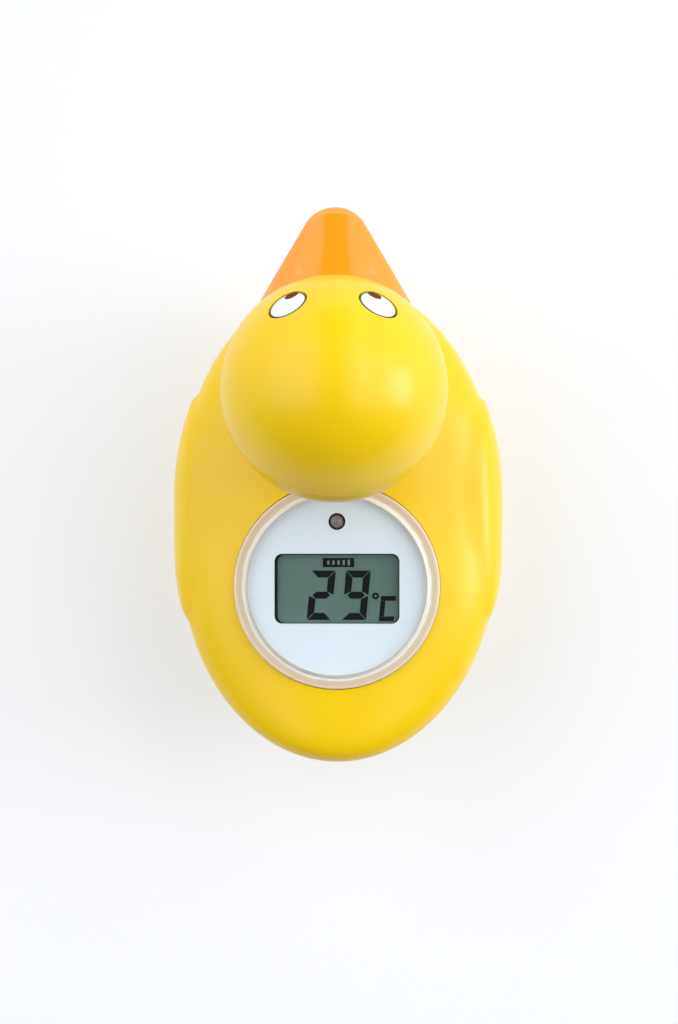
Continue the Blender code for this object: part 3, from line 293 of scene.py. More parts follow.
@dataclass(frozen=True)
class ClearMoulding(Finish):
    """Clear polycarbonate: see-through over the pane, and milky where the rim is seen through its depth, with
    painted highlight rings on the rim.
    """

    tint: str = "FEFEFD"
    # Rim colour rings by radius in mm: tan for what shows through, and painted highlights as the white ring
    # at 17.85-18.25 and the pale outer edge at 19.6-19.95
    rim_tones_and_highlights: tuple[tuple[float, str], ...] = (
        (17.25, "F1E2BE"), (17.55, "EFE3CF"), (17.85, "FFFDF6"), (18.25, "FFFFFF"), (18.5, "EAD6B4"),
        (19.2, "E4CDAE"), (19.6, "F0DDC8"), (19.95, "FBEAD2"))
    waver: float = 0.16
    streak_mm: float = 3.0
    centre_mm: Pair = (0.0, 18.25)
    clear_radius_mm: float = 17.25
    milky_radius_mm: float = 17.6
    milk_share: float = 0.8
    roughness: float = 0.05
    rim_roughness: float = 0.12
    ior: float = 1.3

    def surface(self, tree: NodeTree) -> NodeSocket:
        """Mixes a see-through pane with a glossy milky rim, which carries painted highlight rings, by the
        distance from the module's axis.

        Args:
            tree: The material's tree.

        Returns:
            The output of the last mix.
        """
        place = object_place(tree)
        moved = add_node(tree, "ShaderNodeMapping", inputs={
            "Vector": place, "Location": (-self.centre_mm[0] * MM, -self.centre_mm[1] * MM, 0.0)})
        flat = add_node(tree, "ShaderNodeVectorMath", {"operation": "MULTIPLY"}, {
            0: moved.outputs["Vector"], 1: (1.0, 1.0, 0.0)})
        radius = add_node(tree, "ShaderNodeVectorMath", {"operation": "LENGTH"}, {
            0: flat.outputs["Vector"]}).outputs["Value"]
        milk = add_node(tree, "ShaderNodeMapRange", {"interpolation_type": "SMOOTHSTEP"}, {
            "Value": radius, "From Min": self.clear_radius_mm * MM, "From Max": self.milky_radius_mm * MM,
            "To Min": 0.0, "To Max": self.milk_share}).outputs["Result"]
        streaks = noise(tree, place, self.streak_mm, Detail=1.0)
        uneven = spread(tree, streaks, self.roughness * 0.7, self.roughness * 1.4)
        pane = clear_wall(tree, self.tint, "FFFFFF", uneven, self.ior)
        rim = principled(tree, {
            "Base Color": self.banded_with_highlights(tree, radius, streaks),
            "Roughness": self.rim_roughness, "IOR": self.ior})
        return mixed(tree, milk, pane, rim)

    def banded_with_highlights(self, tree: NodeTree, radius: NodeSocket, streaks: NodeSocket) -> NodeSocket:
        """Colours the rim in rings, whose borders waver a little: tan for what shows through it, and painted
        highlights as a white ring and a pale outer edge.

        Args:
            tree: The material's tree.
            radius: The distance from the module's axis.
            streaks: The noise that moves the borders.

        Returns:
            The colour's output.
        """
        (first, first_colour), (last, last_colour) = self.rim_tones_and_highlights[0], self.rim_tones_and_highlights[-1]
        along = add_node(tree, "ShaderNodeMapRange", inputs={
            "Value": radius, "From Min": first * MM, "From Max": last * MM}).outputs["Result"]
        wavy = maths(tree, "MULTIPLY_ADD", streaks, self.waver, along)
        evened = maths(tree, "SUBTRACT", wavy, self.waver / 2)
        ramp = add_node(tree, "ShaderNodeValToRGB", inputs={"Fac": evened})
        stops = ramp.color_ramp.elements
        stops[0].position, stops[1].position = 0.0, 1.0
        stops[0].color, stops[1].color = linear(first_colour), linear(last_colour)
        for place_mm, colour in self.rim_tones_and_highlights[1:-1]:
            stops.new((place_mm - first) / (last - first)).color = linear(colour)
        return ramp.outputs["Color"]


@dataclass(frozen=True)
class DisplayGlass(Finish):
    """A reflective liquid crystal cell: grey-green polariser over a brushed reflector."""

    colour: str = "667F7B"
    shade: str = "5A736D"
    brush_mm: float = 0.4
    brush_pull: float = 0.12
    brush_share: float = 0.25
    cloud_mm: float = 7.0
    roughness: float = 0.3

    def surface(self, tree: NodeTree) -> NodeSocket:
        """Draws the reflector's faint streaks under a smooth polariser.

        Args:
            tree: The material's tree.

        Returns:
            The Principled shader's output.
        """
        place = object_place(tree)
        pulled = add_node(tree, "ShaderNodeMapping", inputs={
            "Vector": place, "Scale": (1.0, self.brush_pull, 1.0)}).outputs["Vector"]
        streaks = noise(tree, pulled, self.brush_mm, Detail=1.0)
        clouds = noise(tree, place, self.cloud_mm, Detail=1.0)
        share = maths(tree, "MULTIPLY_ADD", streaks, self.brush_share, clouds)
        return principled(tree, {
            "Base Color": two_tone(tree, share, self.colour, self.shade),
            "Roughness": self.roughness, "IOR": 1.5})


@dataclass(frozen=True)
class LayeredStrip(Finish):
    """Conductive strip: dark layers between pink insulating ones."""

    dark: str = "2B2425"
    pink: str = "C98F88"
    pitch_mm: float = 2.262

    def surface(self, tree: NodeTree) -> NodeSocket:
        """Stripes the strip across its length.

        Args:
            tree: The material's tree.

        Returns:
            The Principled shader's output.
        """
        layers = add_node(tree, "ShaderNodeTexWave", {"bands_direction": "X"}, {
            "Vector": object_place(tree), "Scale": wave_scale(self.pitch_mm), "Distortion": 0.0})
        tones = two_tone(tree, layers.outputs["Fac"], self.dark, self.pink)
        return principled(tree, {"Base Color": tones, "Roughness": 0.6})


@dataclass(frozen=True)
class SolderMask(Finish):
    """Green solder mask with paler copper tracks showing through it."""

    mask: str = "17613A"
    track: str = "3C8A55"
    track_mm: float = 1.6
    track_edge: float = 0.48
    track_height_mm: float = 0.03

    def surface(self, tree: NodeTree) -> NodeSocket:
        """Draws tracks as the cell borders of a square pattern.

        Args:
            tree: The material's tree.

        Returns:
            The Principled shader's output.
        """
        cells = add_node(tree, "ShaderNodeTexVoronoi", {"feature": "F1", "distance": "CHEBYCHEV"}, {
            "Vector": object_place(tree), "Scale": 1000 / self.track_mm, "Randomness": 0.7})
        border = maths(tree, "GREATER_THAN", cells.outputs["Distance"], self.track_edge)
        return principled(tree, {
            "Base Color": two_tone(tree, border, self.mask, self.track), "Roughness": 0.35,
            "Normal": relief(tree, border, self.track_height_mm, 0.5)})


@dataclass(frozen=True)
class ClearEpoxy(Finish):
    """Lamp epoxy with a smoky haze, through which its cup shows."""

    tint: str = "D8CCC6"
    shine: str = "E7E7E7"
    haze: str = "D2C4BA"
    haze_share: float = 0.3
    haze_roughness: float = 0.1
    swirl_mm: float = 0.9
    roughness: Pair = (0.03, 0.1)
    ior: float = 1.54

    def surface(self, tree: NodeTree) -> NodeSocket:
        """Lets the cup show through and keeps the dome's gloss.

        Args:
            tree: The material's tree.

        Returns:
            The output of the mix.
        """
        swirl = noise(tree, object_place(tree), self.swirl_mm)
        shell = clear_wall(tree, self.tint, self.shine, spread(tree, swirl, *self.roughness), self.ior)
        haze = principled(tree, {
            "Base Color": linear(self.haze), "Roughness": self.haze_roughness, "IOR": self.ior})
        return mixed(tree, self.haze_share, shell, haze)


@dataclass(frozen=True)
class StudioPaper(Finish):
    """White paper that shows the camera and mirrors a part of plain white, and so a lighter shadow."""

    colour: str = "F3F4F8"
    shade: str = "F1F2F6"
    fibre_mm: float = 60.0
    plain_share: float = 0.5

    def surface(self, tree: NodeTree) -> NodeSocket:
        """Mixes matt paper with plain white for the rays that see it.

        Args:
            tree: The material's tree.

        Returns:
            The output of the mix.
        """
        fibre = noise(tree, object_place(tree), self.fibre_mm)
        matt = add_node(tree, "ShaderNodeBsdfDiffuse", inputs={
            "Color": two_tone(tree, fibre, self.colour, self.shade)}).outputs["BSDF"]
        plain = add_node(tree, "ShaderNodeEmission", inputs={
            "Color": linear("FFFFFF"), "Strength": 1.0}).outputs["Emission"]
        path = add_node(tree, "ShaderNodeLightPath").outputs
        mirrored = maths(tree, "MAXIMUM", path["Is Glossy Ray"], path["Is Transmission Ray"])
        seen = maths(tree, "MAXIMUM", path["Is Camera Ray"], mirrored)
        return mixed(tree, maths(tree, "MULTIPLY", seen, self.plain_share), matt, plain)


class Palette(Enum):
    """The finishes of the duck, each named for its real material, and one dark finish for painted shadow."""

    # Slush-moulded PVC: a warm, slightly see-through skin with a satin gloss
    VINYL = Moulded("slush-moulded vinyl", colour="F9CE08", shade="F7C904", roughness=0.3, patch_mm=30.0,
                    grain_mm=0.9, grain_depth_mm=0.002, subsurface=0.12, subsurface_mm=2.5,
                    subsurface_tint=(1.0, 0.55, 0.08), ior=1.42)
    # Injection-moulded PVC, polished tool: wet-looking gloss
    BEAK = Moulded("gloss-moulded orange plastic", colour="FA9C0E", shade="F8960A", roughness=0.16,
                   roughness_spread=0.02, patch_mm=14.0, grain_mm=1.4, grain_depth_mm=0.008, coat=0.4,
                   coat_roughness=0.06, subsurface=0.08, subsurface_mm=1.5, ior=1.53)
    CAP = ClearMoulding("clear polycarbonate")
    # Moulded silicone: dull, creamy and a little see-through
    SILICONE = Moulded("pale silicone", colour="E9DAC4", shade="DFCDB4", roughness=0.5, patch_mm=6.0,
                       grain_mm=0.3, subsurface=0.2, subsurface_mm=1.0)
    # ABS from a lightly etched tool: cool white with a soft sheen
    WHITE_ABS = Moulded("cool white ABS", colour="E9F3FE", shade="E4F0FD", roughness=0.42, patch_mm=12.0,
                        grain_mm=0.25, grain_depth_mm=0.004)
    HOUSING_ABS = Moulded("warm white ABS", colour="EFEFEC", shade="E6E6E2", roughness=0.4, patch_mm=14.0,
                          grain_mm=0.3, grain_depth_mm=0.006)
    BLACK_ABS = Moulded("black ABS", colour="191A1B", shade="222324", roughness=0.42, grain_mm=0.3)
    # Plated lead frame seen through epoxy: pale and only half bright
    LAMP_CUP = Moulded("dull silver plate", colour="CFC3BB", shade="BDB0A8", roughness=0.35, patch_mm=0.6,
                       grain_mm=0.2)
    # Painted shadow: a dark sheet that stands for the shade inside the display window, matt and nearly black
    WINDOW_SHADOW = Moulded("dark sheet painted as window shadow", colour="2A1D18", shade="1B1311", roughness=0.8, patch_mm=2.0,
                   grain_mm=0.2, ior=1.2)
    SEAL = Moulded("black seal rubber", colour="141414", shade="1D1D1D", roughness=0.65, grain_mm=0.25)
    # Lit segments: flat and nearly black, without a gloss of their own
    INK = Moulded("display segment ink", colour="070D10", shade="0A1214", roughness=0.5, patch_mm=3.0,
                  grain_mm=0.2, grain_depth_mm=0.001, ior=1.2)
    INK_GAP = Moulded("open display field", colour="7F8A86", shade="74807B", roughness=0.35, patch_mm=3.0,
                      grain_mm=0.2, grain_depth_mm=0.001)
    # Sprayed enamel: smooth, with soft uneven edges of colour
    EYE_WHITE = Moulded("white eye enamel", colour="F1F1F3", shade="E9E9EE", roughness=0.25, patch_mm=5.0,
                        grain_mm=0.6, grain_depth_mm=0.002)
    EYE_BROWN = Moulded("brown eye enamel", colour="83410F", shade="5C2808", roughness=0.5, patch_mm=1.5,
                        grain_mm=0.5, grain_depth_mm=0.002, ior=1.15)
    EYE_LINE = Moulded("grey-brown eye line enamel", colour="4A4140", shade="3A3332", roughness=0.3,
                       patch_mm=3.0, grain_mm=0.4, grain_depth_mm=0.004)
    LCD = DisplayGlass("liquid crystal cell")
    LAMP = ClearEpoxy("clear lamp epoxy")
    STRIP = LayeredStrip("layered conductive rubber")
    BOARD = SolderMask("solder-masked glass epoxy")
    STEEL = TurnedMetal("turned stainless steel")
    NICKEL = TurnedMetal("nickelled spring strip", colour="D3C9B4", roughness=0.28, rings=False)
    LEAD_WHITE = Moulded("white wire sleeve", colour="E8E8E6", shade="DEDEDC", roughness=0.45, grain_mm=0.3)
    LEAD_BLUE = Moulded("blue wire sleeve", colour="2458B8", shade="1E4CA6", roughness=0.45, grain_mm=0.3)
    LEAD_BLACK = Moulded("black wire sleeve", colour="1A1A1A", shade="242424", roughness=0.45, grain_mm=0.3)
    LEAD_RED = Moulded("red wire sleeve", colour="C22A22", shade="B0231C", roughness=0.45, grain_mm=0.3)
    PAPER = StudioPaper("white studio paper")

    def material(self) -> Material:
        """The material of this finish, made on first use."""
        return self.value.material()


def linked(name: str, data: ID) -> Object:
    """Puts data into the scene as an object at the origin."""
    obj = bpy.data.objects.new(name, data)
    bpy.context.scene.collection.objects.link(obj)
    return obj


def to_object(name: str, bm: BMesh) -> Object:
    """Turns a bmesh into an object with outward faces.

    Args:
        name: The object's name.
        bm: The finished bmesh, which is freed.

    Returns:
        The new object, at the origin.
    """
    bmesh.ops.remove_doubles(bm, verts=bm.verts, dist=MERGE)
    bmesh.ops.recalc_face_normals(bm, faces=bm.faces)
    mesh = bpy.data.meshes.new(name)
    bm.to_mesh(mesh)
    bm.free()
    return linked(name, mesh)


def loft(bm: BMesh, rings: list[list[Point]], first: Point | None = None,
         last: Point | None = None, closed: bool = False) -> None:
    """Skins closed rings of points.

    Args:
        bm: The bmesh that takes the faces.
        rings: Rings with the same number of points.
        first: The point that closes the first ring, which is closed by a flat face without it.
        last: The point that closes the last ring.
        closed: Joins the last ring to the first, as on a turned ring, and leaves out both ends.
    """
    rows = [[bm.verts.new(point) for point in ring] for ring in rings]
    count = len(rows[0])
    pairs = list(zip(rows, rows[1:]))
    if closed:
        pairs.append((rows[-1], rows[0]))
    for low, high in pairs:
        for index in range(count):
            after = (index + 1) % count
            bm.faces.new((low[index], low[after], high[after], high[index]))
    if closed:
        return
    for row, cap in ((rows[0], first), (rows[-1], last)):
        if cap is None:
            bm.faces.new(row)
            continue
        tip = bm.verts.new(cap)
        for index in range(count):
            bm.faces.new((row[index], row[(index + 1) % count], tip))


def arc(centre: Pair, radius: float, start: float, end: float, count: int) -> Profile:
    """Points of an arc from one angle to the other, in degrees.

    Args:
        centre: The arc's centre.
        radius: Its radius.
        start: The first point's angle.
        end: The last point's angle.
        count: The number of steps.

    Returns:
        The points in order.
    """
    angles = [math.radians(start + (end - start) * step / count) for step in range(count + 1)]
    return [(centre[0] + radius * math.cos(a), centre[1] + radius * math.sin(a)) for a in angles]


def lathe(name: str, profile: Profile, centre: Pair, steps: int = 128, closed: bool = False) -> Object:
    """Turns a profile of (radius, height) round an upright axis.

    Args:
        name: The object's name.
        profile: Points from the axis outwards and back to it, or a closed outline.
        centre: Where the axis stands.
        steps: Faces round the axis.
        closed: Says that the profile is an outline clear of the axis.

    Returns:
        The turned object.
    """
    turns = [2 * math.pi * step / steps for step in range(steps)]
    inner = profile if closed else profile[1:-1]
    rings = [[(centre[0] + r * math.cos(a), centre[1] + r * math.sin(a), z) for a in turns] for r, z in inner]
    bm = bmesh.new()
    if closed:
        loft(bm, rings, closed=True)
    else:
        loft(bm, rings, (*centre, profile[0][1]), (*centre, profile[-1][1]))
    return to_object(name, bm)


def plug(name: str, place: Pair, radius: float, low: float, high: float, steps: int = 48) -> Object:
    """A plain round body between two heights."""
    return lathe(name, [(0.0, high), (radius, high), (radius, low), (0.0, low)], place, steps)


def rounded_rectangle(half_x: float, half_y: float, corner: float, centre: Pair = (0.0, 0.0),
                      count: int = 10) -> Profile:
    """The outline of a rectangle with round corners, anticlockwise.

    Args:
        half_x: Half its width.
        half_y: Half its height.
        corner: The corners' radius.
        centre: Its middle.
        count: Steps round each corner.

    Returns:
        The points in order.
    """
    outline: Profile = []
    for sign_x, sign_y, start in ((1, 1, 0), (-1, 1, 90), (-1, -1, 180), (1, -1, 270)):
        middle = (centre[0] + sign_x * (half_x - corner), centre[1] + sign_y * (half_y - corner))
        outline += arc(middle, corner, start, start + 90, count)
    return outline


def prism(name: str, outline: Profile, low: float, high: float) -> Object:
    """Extrudes an outline from one height to another.

    Args:
        name: The object's name.
        outline: Points round the outline.
        low: The lower height.
        high: The upper height.

    Returns:
        The closed body.
    """
    bm = bmesh.new()
    loft(bm, [[(x, y, low) for x, y in outline], [(x, y, high) for x, y in outline]])
    return to_object(name, bm)


def settle(obj: Object, place: Matrix | None = None) -> Object:
    """Turns an object with its modifiers into a plain mesh with smooth shading and sharp edges.

    Args:
        obj: The object, whose modifiers are removed.
        place: A move for the finished mesh, so that the object itself stays at the origin.

    Returns:
        The same object with its final mesh.
    """
    graph = bpy.context.evaluated_depsgraph_get()
    mesh = bpy.data.meshes.new_from_object(obj.evaluated_get(graph))
    obj.modifiers.clear()
    obj.data = mesh
    mesh.name = obj.name
    if place is not None:
        mesh.transform(place)
    mesh.shade_smooth()
    mesh.set_sharp_from_angle(angle=SHARP_ANGLE)
    return obj


def combine(obj: Object, operation: str, *others: Object) -> Object:
    """Runs one boolean after the other on a piece and removes the bodies that it used.

    Args:
        obj: The piece.
        operation: What each step does.
        others: Closed bodies.

    Returns:
        The piece as a plain mesh.
    """
    for other in others:
        modifier = obj.modifiers.new(f"with_{other.name}", "BOOLEAN")
        modifier.operation = operation
        modifier.solver = "MANIFOLD"
        modifier.object = other
    settle(obj)
    for other in others:
        bpy.data.objects.remove(other, do_unlink=True)
    return obj


def carve(obj: Object, *cutters: Object) -> Object:
    """Cuts bodies out of a piece."""
    return combine(obj, "DIFFERENCE", *cutters)


def join(obj: Object, *others: Object) -> Object:
    """Unites bodies with a piece."""
    return combine(obj, "UNION", *others)


def rounded(obj: Object, width: float, segments: int = 3) -> Object:
    """Rounds the sharp edges of a piece; its flat faces keep an even shading up to the rounding.

    Args:
        obj: The piece.
        width: The rounding's width.
        segments: Steps over the rounding.

    Returns:
        The same piece with its final mesh.
    """
    bevel = obj.modifiers.new("edges", "BEVEL")
    bevel.width = width
    bevel.segments = segments
    bevel.limit_method = "ANGLE"
    bevel.angle_limit = math.radians(40)
    settle(obj)
    obj.modifiers.new("even_shading", "WEIGHTED_NORMAL").keep_sharp = True
    return settle(obj)


def dress(obj: Object, finish: Palette, slot: str, *nodes: str) -> Object:
    """Gives a finished piece its material and its body, and hides the nodes that it stands for.

    Args:
        obj: The piece.
        finish: Its finish.
        slot: The record's material slot; not used.
        nodes: CAD nodes that it replaces.

    Returns:
        The piece.
    """
    obj.data.materials.clear()
    obj.data.materials.append(finish.material())
    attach(obj, "root")
    if nodes:
        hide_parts(*nodes)
    log.info("%s: %d faces, %s", obj.name, len(obj.data.polygons), finish.value.name)
    return obj


def smooth_union(first: np.ndarray, second: np.ndarray, blend: float) -> np.ndarray:
    """The lower of two distances, with a soft blend where they are close.

    Args:
        first: Distances to one form.
        second: Distances to the other.
        blend: The blend's width.

    Returns:
        One distance for each pair.
    """
    overlap = np.maximum(blend - np.abs(first - second), 0.0) / blend
    return np.minimum(first, second) - overlap * overlap * blend / 4


@dataclass
class Fineness:
    """How many sections and points a lofted form has."""

    segments: int
    tail: int
    chest: int
    head: int


@dataclass
class VinylDuck:
    """The slush-moulded duck: one skin over body, tail, neck and head, with its openings."""

    wall: float = 2.2 * MM
    half_width: float = 31.6 * MM
    straight: float = 13.0 * MM
    front_reach: float = 42.0 * MM
    rear_reach: float = 40.3 * MM
    waist: float = 28.0 * MM
    deck_rise: float = 15.6 * MM
    base_drop: float = 36.0 * MM
    deck_squareness: float = 2.8
    base_squareness: float = 2.6
    base_blend: float = 5.0 * MM
    tail_waist_rise: float = 8.0 * MM
    tail_squareness: float = 1.7
    tail_lift: float = 7.0 * MM
    head_radius: float = 20.8 * MM
    head_lift: float = 22.4 * MM
    head_forward: float = 24.8 * MM
    neck_radius: float = 13.5 * MM
    neck_blend: float = 8.0 * MM
    wing_relief: float = 1.3 * MM
    wing_thin_end: float = 0.55
    wing_length: float = 45.5 * MM
    wing_forward: float = 25.2 * MM
    wing_half_height: float = 10.5 * MM
    wing_lift: float = 1.0 * MM
    wing_tip_rise: float = 6.0 * MM
    wing_edge: float = 1.8 * MM
    beak_length: float = 34.3 * MM
    module_back: float = 12.1 * MM
    fan_angle: float = math.radians(38)
    fan_distance: float = 1.25
    skin: Fineness = field(default_factory=lambda: Fineness(160, 64, 30, 48))
    hollow: Fineness = field(default_factory=lambda: Fineness(48, 20, 12, 18))

    @property
    def body_y(self) -> float:
        """Where the body's middle stands along the duck."""
        return (self.head_forward + self.beak_length - self.rear_extent) / 2

    @property
    def rear_extent(self) -> float:
        """How far the body reaches behind its middle."""
        return self.straight / 2 + self.rear_reach

    @property
    def deck_z(self) -> float:
        """The height of the back."""
        return self.waist + self.deck_rise

    @property
    def head_centre(self) -> Vector:
        """The middle of the head's ball."""
        return Vector((0.0, self.body_y - self.head_forward, self.deck_z + self.head_lift))

    def body_level(self, x: np.ndarray, y: np.ndarray, z: np.ndarray) -> np.ndarray:
        """1 on the body's skin. The plan is two half ellipses, the section a soft square.

        Args:
            x: Places across the duck.
            y: Places along it.
            z: Heights.

        Returns:
            Levels, less than 1 inside.
        """
        along = y - self.body_y
        past = np.maximum(np.abs(along) - self.straight / 2, 0.0)
        reach = np.where(along > 0, self.rear_reach, self.front_reach)
        astern = np.clip(along / self.rear_extent, 0.0, 1.0)
        waist = self.waist + self.tail_waist_rise * astern**2
        above = z > waist
        deck = self.deck_z + self.tail_lift * astern**6
        height = np.where(above, deck - waist, self.base_drop * waist / self.waist)
        keel = self.base_squareness + (self.tail_squareness - self.base_squareness) * astern**2
        power = np.where(above, self.deck_squareness, keel)
        plan = np.sqrt((x / self.half_width) ** 2 + (past / reach) ** 2)
        rise = np.abs(z - waist) / height
        return (plan**power + rise**power + 1e-12) ** (1 / power)

    def wing_cover(self, y: np.ndarray, z: np.ndarray) -> np.ndarray:
        """Up to 1 inside the outline of a folded wing and 0 outside, with a soft edge and thinner ends.

        Args:
            y: Places along the duck.
            z: Heights.

        Returns:
            The share of the relief at each place.
        """
        along = (y - (self.body_y - self.wing_forward)) / self.wing_length
        inside = np.clip(along, 0.0, 1.0)
        half = self.wing_half_height * np.sin(math.pi * inside**0.62) ** 0.75
        middle = self.waist + self.wing_lift + self.wing_tip_rise * inside**2
        depth = np.clip((half - np.abs(z - middle)) / self.wing_edge, 0.0, 1.0)
        swell = self.wing_thin_end + (1 - self.wing_thin_end) * np.sin(math.pi * inside)
        return swell * depth * depth * (3 - 2 * depth)

    @staticmethod
    def distance_from(level, x: np.ndarray, y: np.ndarray, z: np.ndarray) -> np.ndarray:
        """Turns a level function into a distance by its slope.

        Args:
            level: The function, which is 1 on the skin.
            x: Places across the duck.
            y: Places along it.
            z: Heights.

        Returns:
            One distance for each place.
        """
        step = 0.05 * MM
        slope_x = level(x + step, y, z) - level(x - step, y, z)
        slope_y = level(x, y + step, z) - level(x, y - step, z)
        slope_z = level(x, y, z + step) - level(x, y, z - step)
        slope = np.sqrt(slope_x**2 + slope_y**2 + slope_z**2) / (2 * step)
        return (level(x, y, z) - 1) / np.maximum(slope, 1e-3)

    def distance(self, points: np.ndarray) -> np.ndarray:
        """Distance to the duck's outer skin, negative inside.

        Args:
            points: Any number of points, with x, y and z last.

        Returns:
            One distance for each point.
        """
        x, y, z = points[..., 0], points[..., 1], points[..., 2]
        head = self.head_centre
        body = self.distance_from(self.body_level, x, y, z) - self.wing_relief * self.wing_cover(y, z)
        low = np.clip(z, self.waist, head.z)
        neck = np.sqrt(x**2 + (y - head.y) ** 2 + (z - low) ** 2) - self.neck_radius
        body = smooth_union(body, neck, self.neck_blend)
        ball = np.sqrt(x**2 + (y - head.y) ** 2 + (z - head.z) ** 2) - self.head_radius
        skin = smooth_union(body, ball, self.neck_blend)
        return -smooth_union(-skin, z, self.base_blend)

    def first_exit(self, origin: np.ndarray, directions: np.ndarray, reach: float,
                   inset: float) -> np.ndarray:
        """Where rays from one inner point leave the skin, or the surface that lies inset under it.

        Args:
            origin: The inner point.
            directions: Unit vectors, one for each ray.
            reach: The rays' length.
            inset: The depth under the skin.

        Returns:
            One point for each ray.
        """
        steps = np.linspace(0.0, reach, 200)
        samples = origin + directions[:, None, :] * steps[None, :, None]
        outside = self.distance(samples) > -inset
        first = np.maximum(outside.argmax(axis=1), 1)
        near, far = steps[first - 1], steps[first]
        for _ in range(24):
            middle = (near + far) / 2
            beyond = self.distance(origin + directions * middle[:, None]) > -inset
            far = np.where(beyond, middle, far)
            near = np.where(beyond, near, middle)
        return origin + directions * middle[:, None]

    def middle_of_span(self, start: np.ndarray, direction: np.ndarray, reach: float,
                       inset: float) -> np.ndarray:
        """The middle of the first stretch inside the skin, seen from an outer point.

        Args:
            start: The outer point.
            direction: A unit vector towards the duck.
            reach: The ray's length.
            inset: The depth under the skin.

        Returns:
            The point in the middle.
        """
        steps = np.linspace(0.0, reach, 900)
        inside = self.distance(start + direction[None, :] * steps[:, None]) < -inset
        enter = inside.argmax()
        leave = enter + (~inside[enter:]).argmax()
        return start + direction * (steps[enter] + steps[leave]) / 2

    def form(self, name: str, inset: float, fineness: Fineness) -> Object:
        """Lofts the closed form: sections across the body, then fanned round the nape and over the head.

        Args:
            name: The object's name.
            inset: The depth under the skin, for the hollow.
            fineness: The numbers of sections and points.

        Returns:
            The closed form.
        """
        turn = np.linspace(0.0, 2 * math.pi, fineness.segments, endpoint=False)
        sideways = np.array([1.0, 0.0, 0.0])
        pivot_distance = self.fan_distance * self.head_radius
        ball = self.head_radius - inset
        head = np.array(self.head_centre)
        pivot = head + pivot_distance * np.array([0.0, math.cos(self.fan_angle), -math.sin(self.fan_angle)])
        rings = []

        def fan(angle: float) -> np.ndarray:
            """The direction from the pivot at an angle over the forward line."""
            return np.array([0.0, -math.cos(angle), math.sin(angle)])

        def add_ring(start: np.ndarray, direction: np.ndarray) -> None:
            """Adds the section that holds the ray and the sideways line."""
            middle = self.middle_of_span(start, direction, 3 * self.half_width, inset)
            directions = np.cos(turn)[:, None] * sideways + np.sin(turn)[:, None] * direction
            rings.append(self.first_exit(middle, directions, 2 * self.front_reach, inset))

        down = np.array([0.0, 0.0, -1.0])
        tail_z = np.linspace(self.waist / 2, self.deck_z, 60)
        backward = np.array([[0.0, 1.0, 0.0]])
        starts = [np.array([0.0, self.body_y + self.module_back, z]) for z in tail_z]
        tail = np.concatenate([self.first_exit(start, backward, 2 * self.rear_reach, inset)
                               for start in starts])
        tip = tail[tail[:, 1].argmax()]
        length = tip[1] - pivot[1]
        for index in range(1, fineness.tail + 1):
            part = 1 - math.cos(math.pi / 2 * index / fineness.tail)
            add_ring(np.array([0.0, tip[1] - length * part, self.deck_z + self.wall * 4]), down)
        widest = math.asin(ball / pivot_distance)
        lowest = self.fan_angle - widest
        for index in range(1, fineness.chest + 1):
            add_ring(pivot, fan(-math.pi / 2 + (lowest + math.pi / 2) * index / fineness.chest))
        for index in range(1, fineness.head):
            swing = -math.pi / 2 + math.pi * index / fineness.head
            add_ring(pivot, fan(self.fan_angle + math.asin(ball * math.sin(swing) / pivot_distance)))
        crown = pivot + math.sqrt(pivot_distance**2 - ball**2) * fan(self.fan_angle + widest)
        bm = bmesh.new()
        loft(bm, [ring.tolist() for ring in rings], tip.tolist(), crown.tolist())
        return to_object(name, bm)

    def build(self, seat: "ModuleSeat", beak: "Beak", eyes: "Eyes") -> Object:
        """Cuts the hollow, both module openings, the beak's pocket and the eye ovals into the form.

        Args:
            seat: The sizes of the module's openings.
            beak: The beak, whose grown form is its pocket.
            eyes: The eyes, which lie in shallow ovals.

        Returns:
            The dressed duck.
        """
        shell = self.form("duck_skin", 0.0, self.skin)
        hollow = self.form("hollow", self.wall, self.hollow)
        carve(hollow, seat.deck_collar(self.deck_z + self.wall), seat.base_collar())
        head = self.head_centre
        face = ball("pocket_ball", head, self.head_radius - beak.pocket)
        pocket = carve(beak.body("face_pocket", GAP), face)
        cutters = [hollow, seat.deck_hole(), seat.base_hole(), pocket, beak.peg("peg_hole", GAP)]
        cutters += [eyes.hollow(side) for side in (1, -1)]
        carve(shell, *cutters)
        return dress(shell, Palette.VINYL, "vinyl", "duck_shell")


def ball(name: str, centre: Vector, radius: float) -> Object:
    """A fine ball, as a guide for what follows the face.

    Args:
        name: The object's name.
        centre: Its centre.
        radius: Its radius.

    Returns:
        The ball.
    """
    bm = bmesh.new()
    bmesh.ops.create_uvsphere(bm, u_segments=96, v_segments=48, radius=radius)
    bmesh.ops.translate(bm, vec=centre, verts=bm.verts)
    return to_object(name, bm)


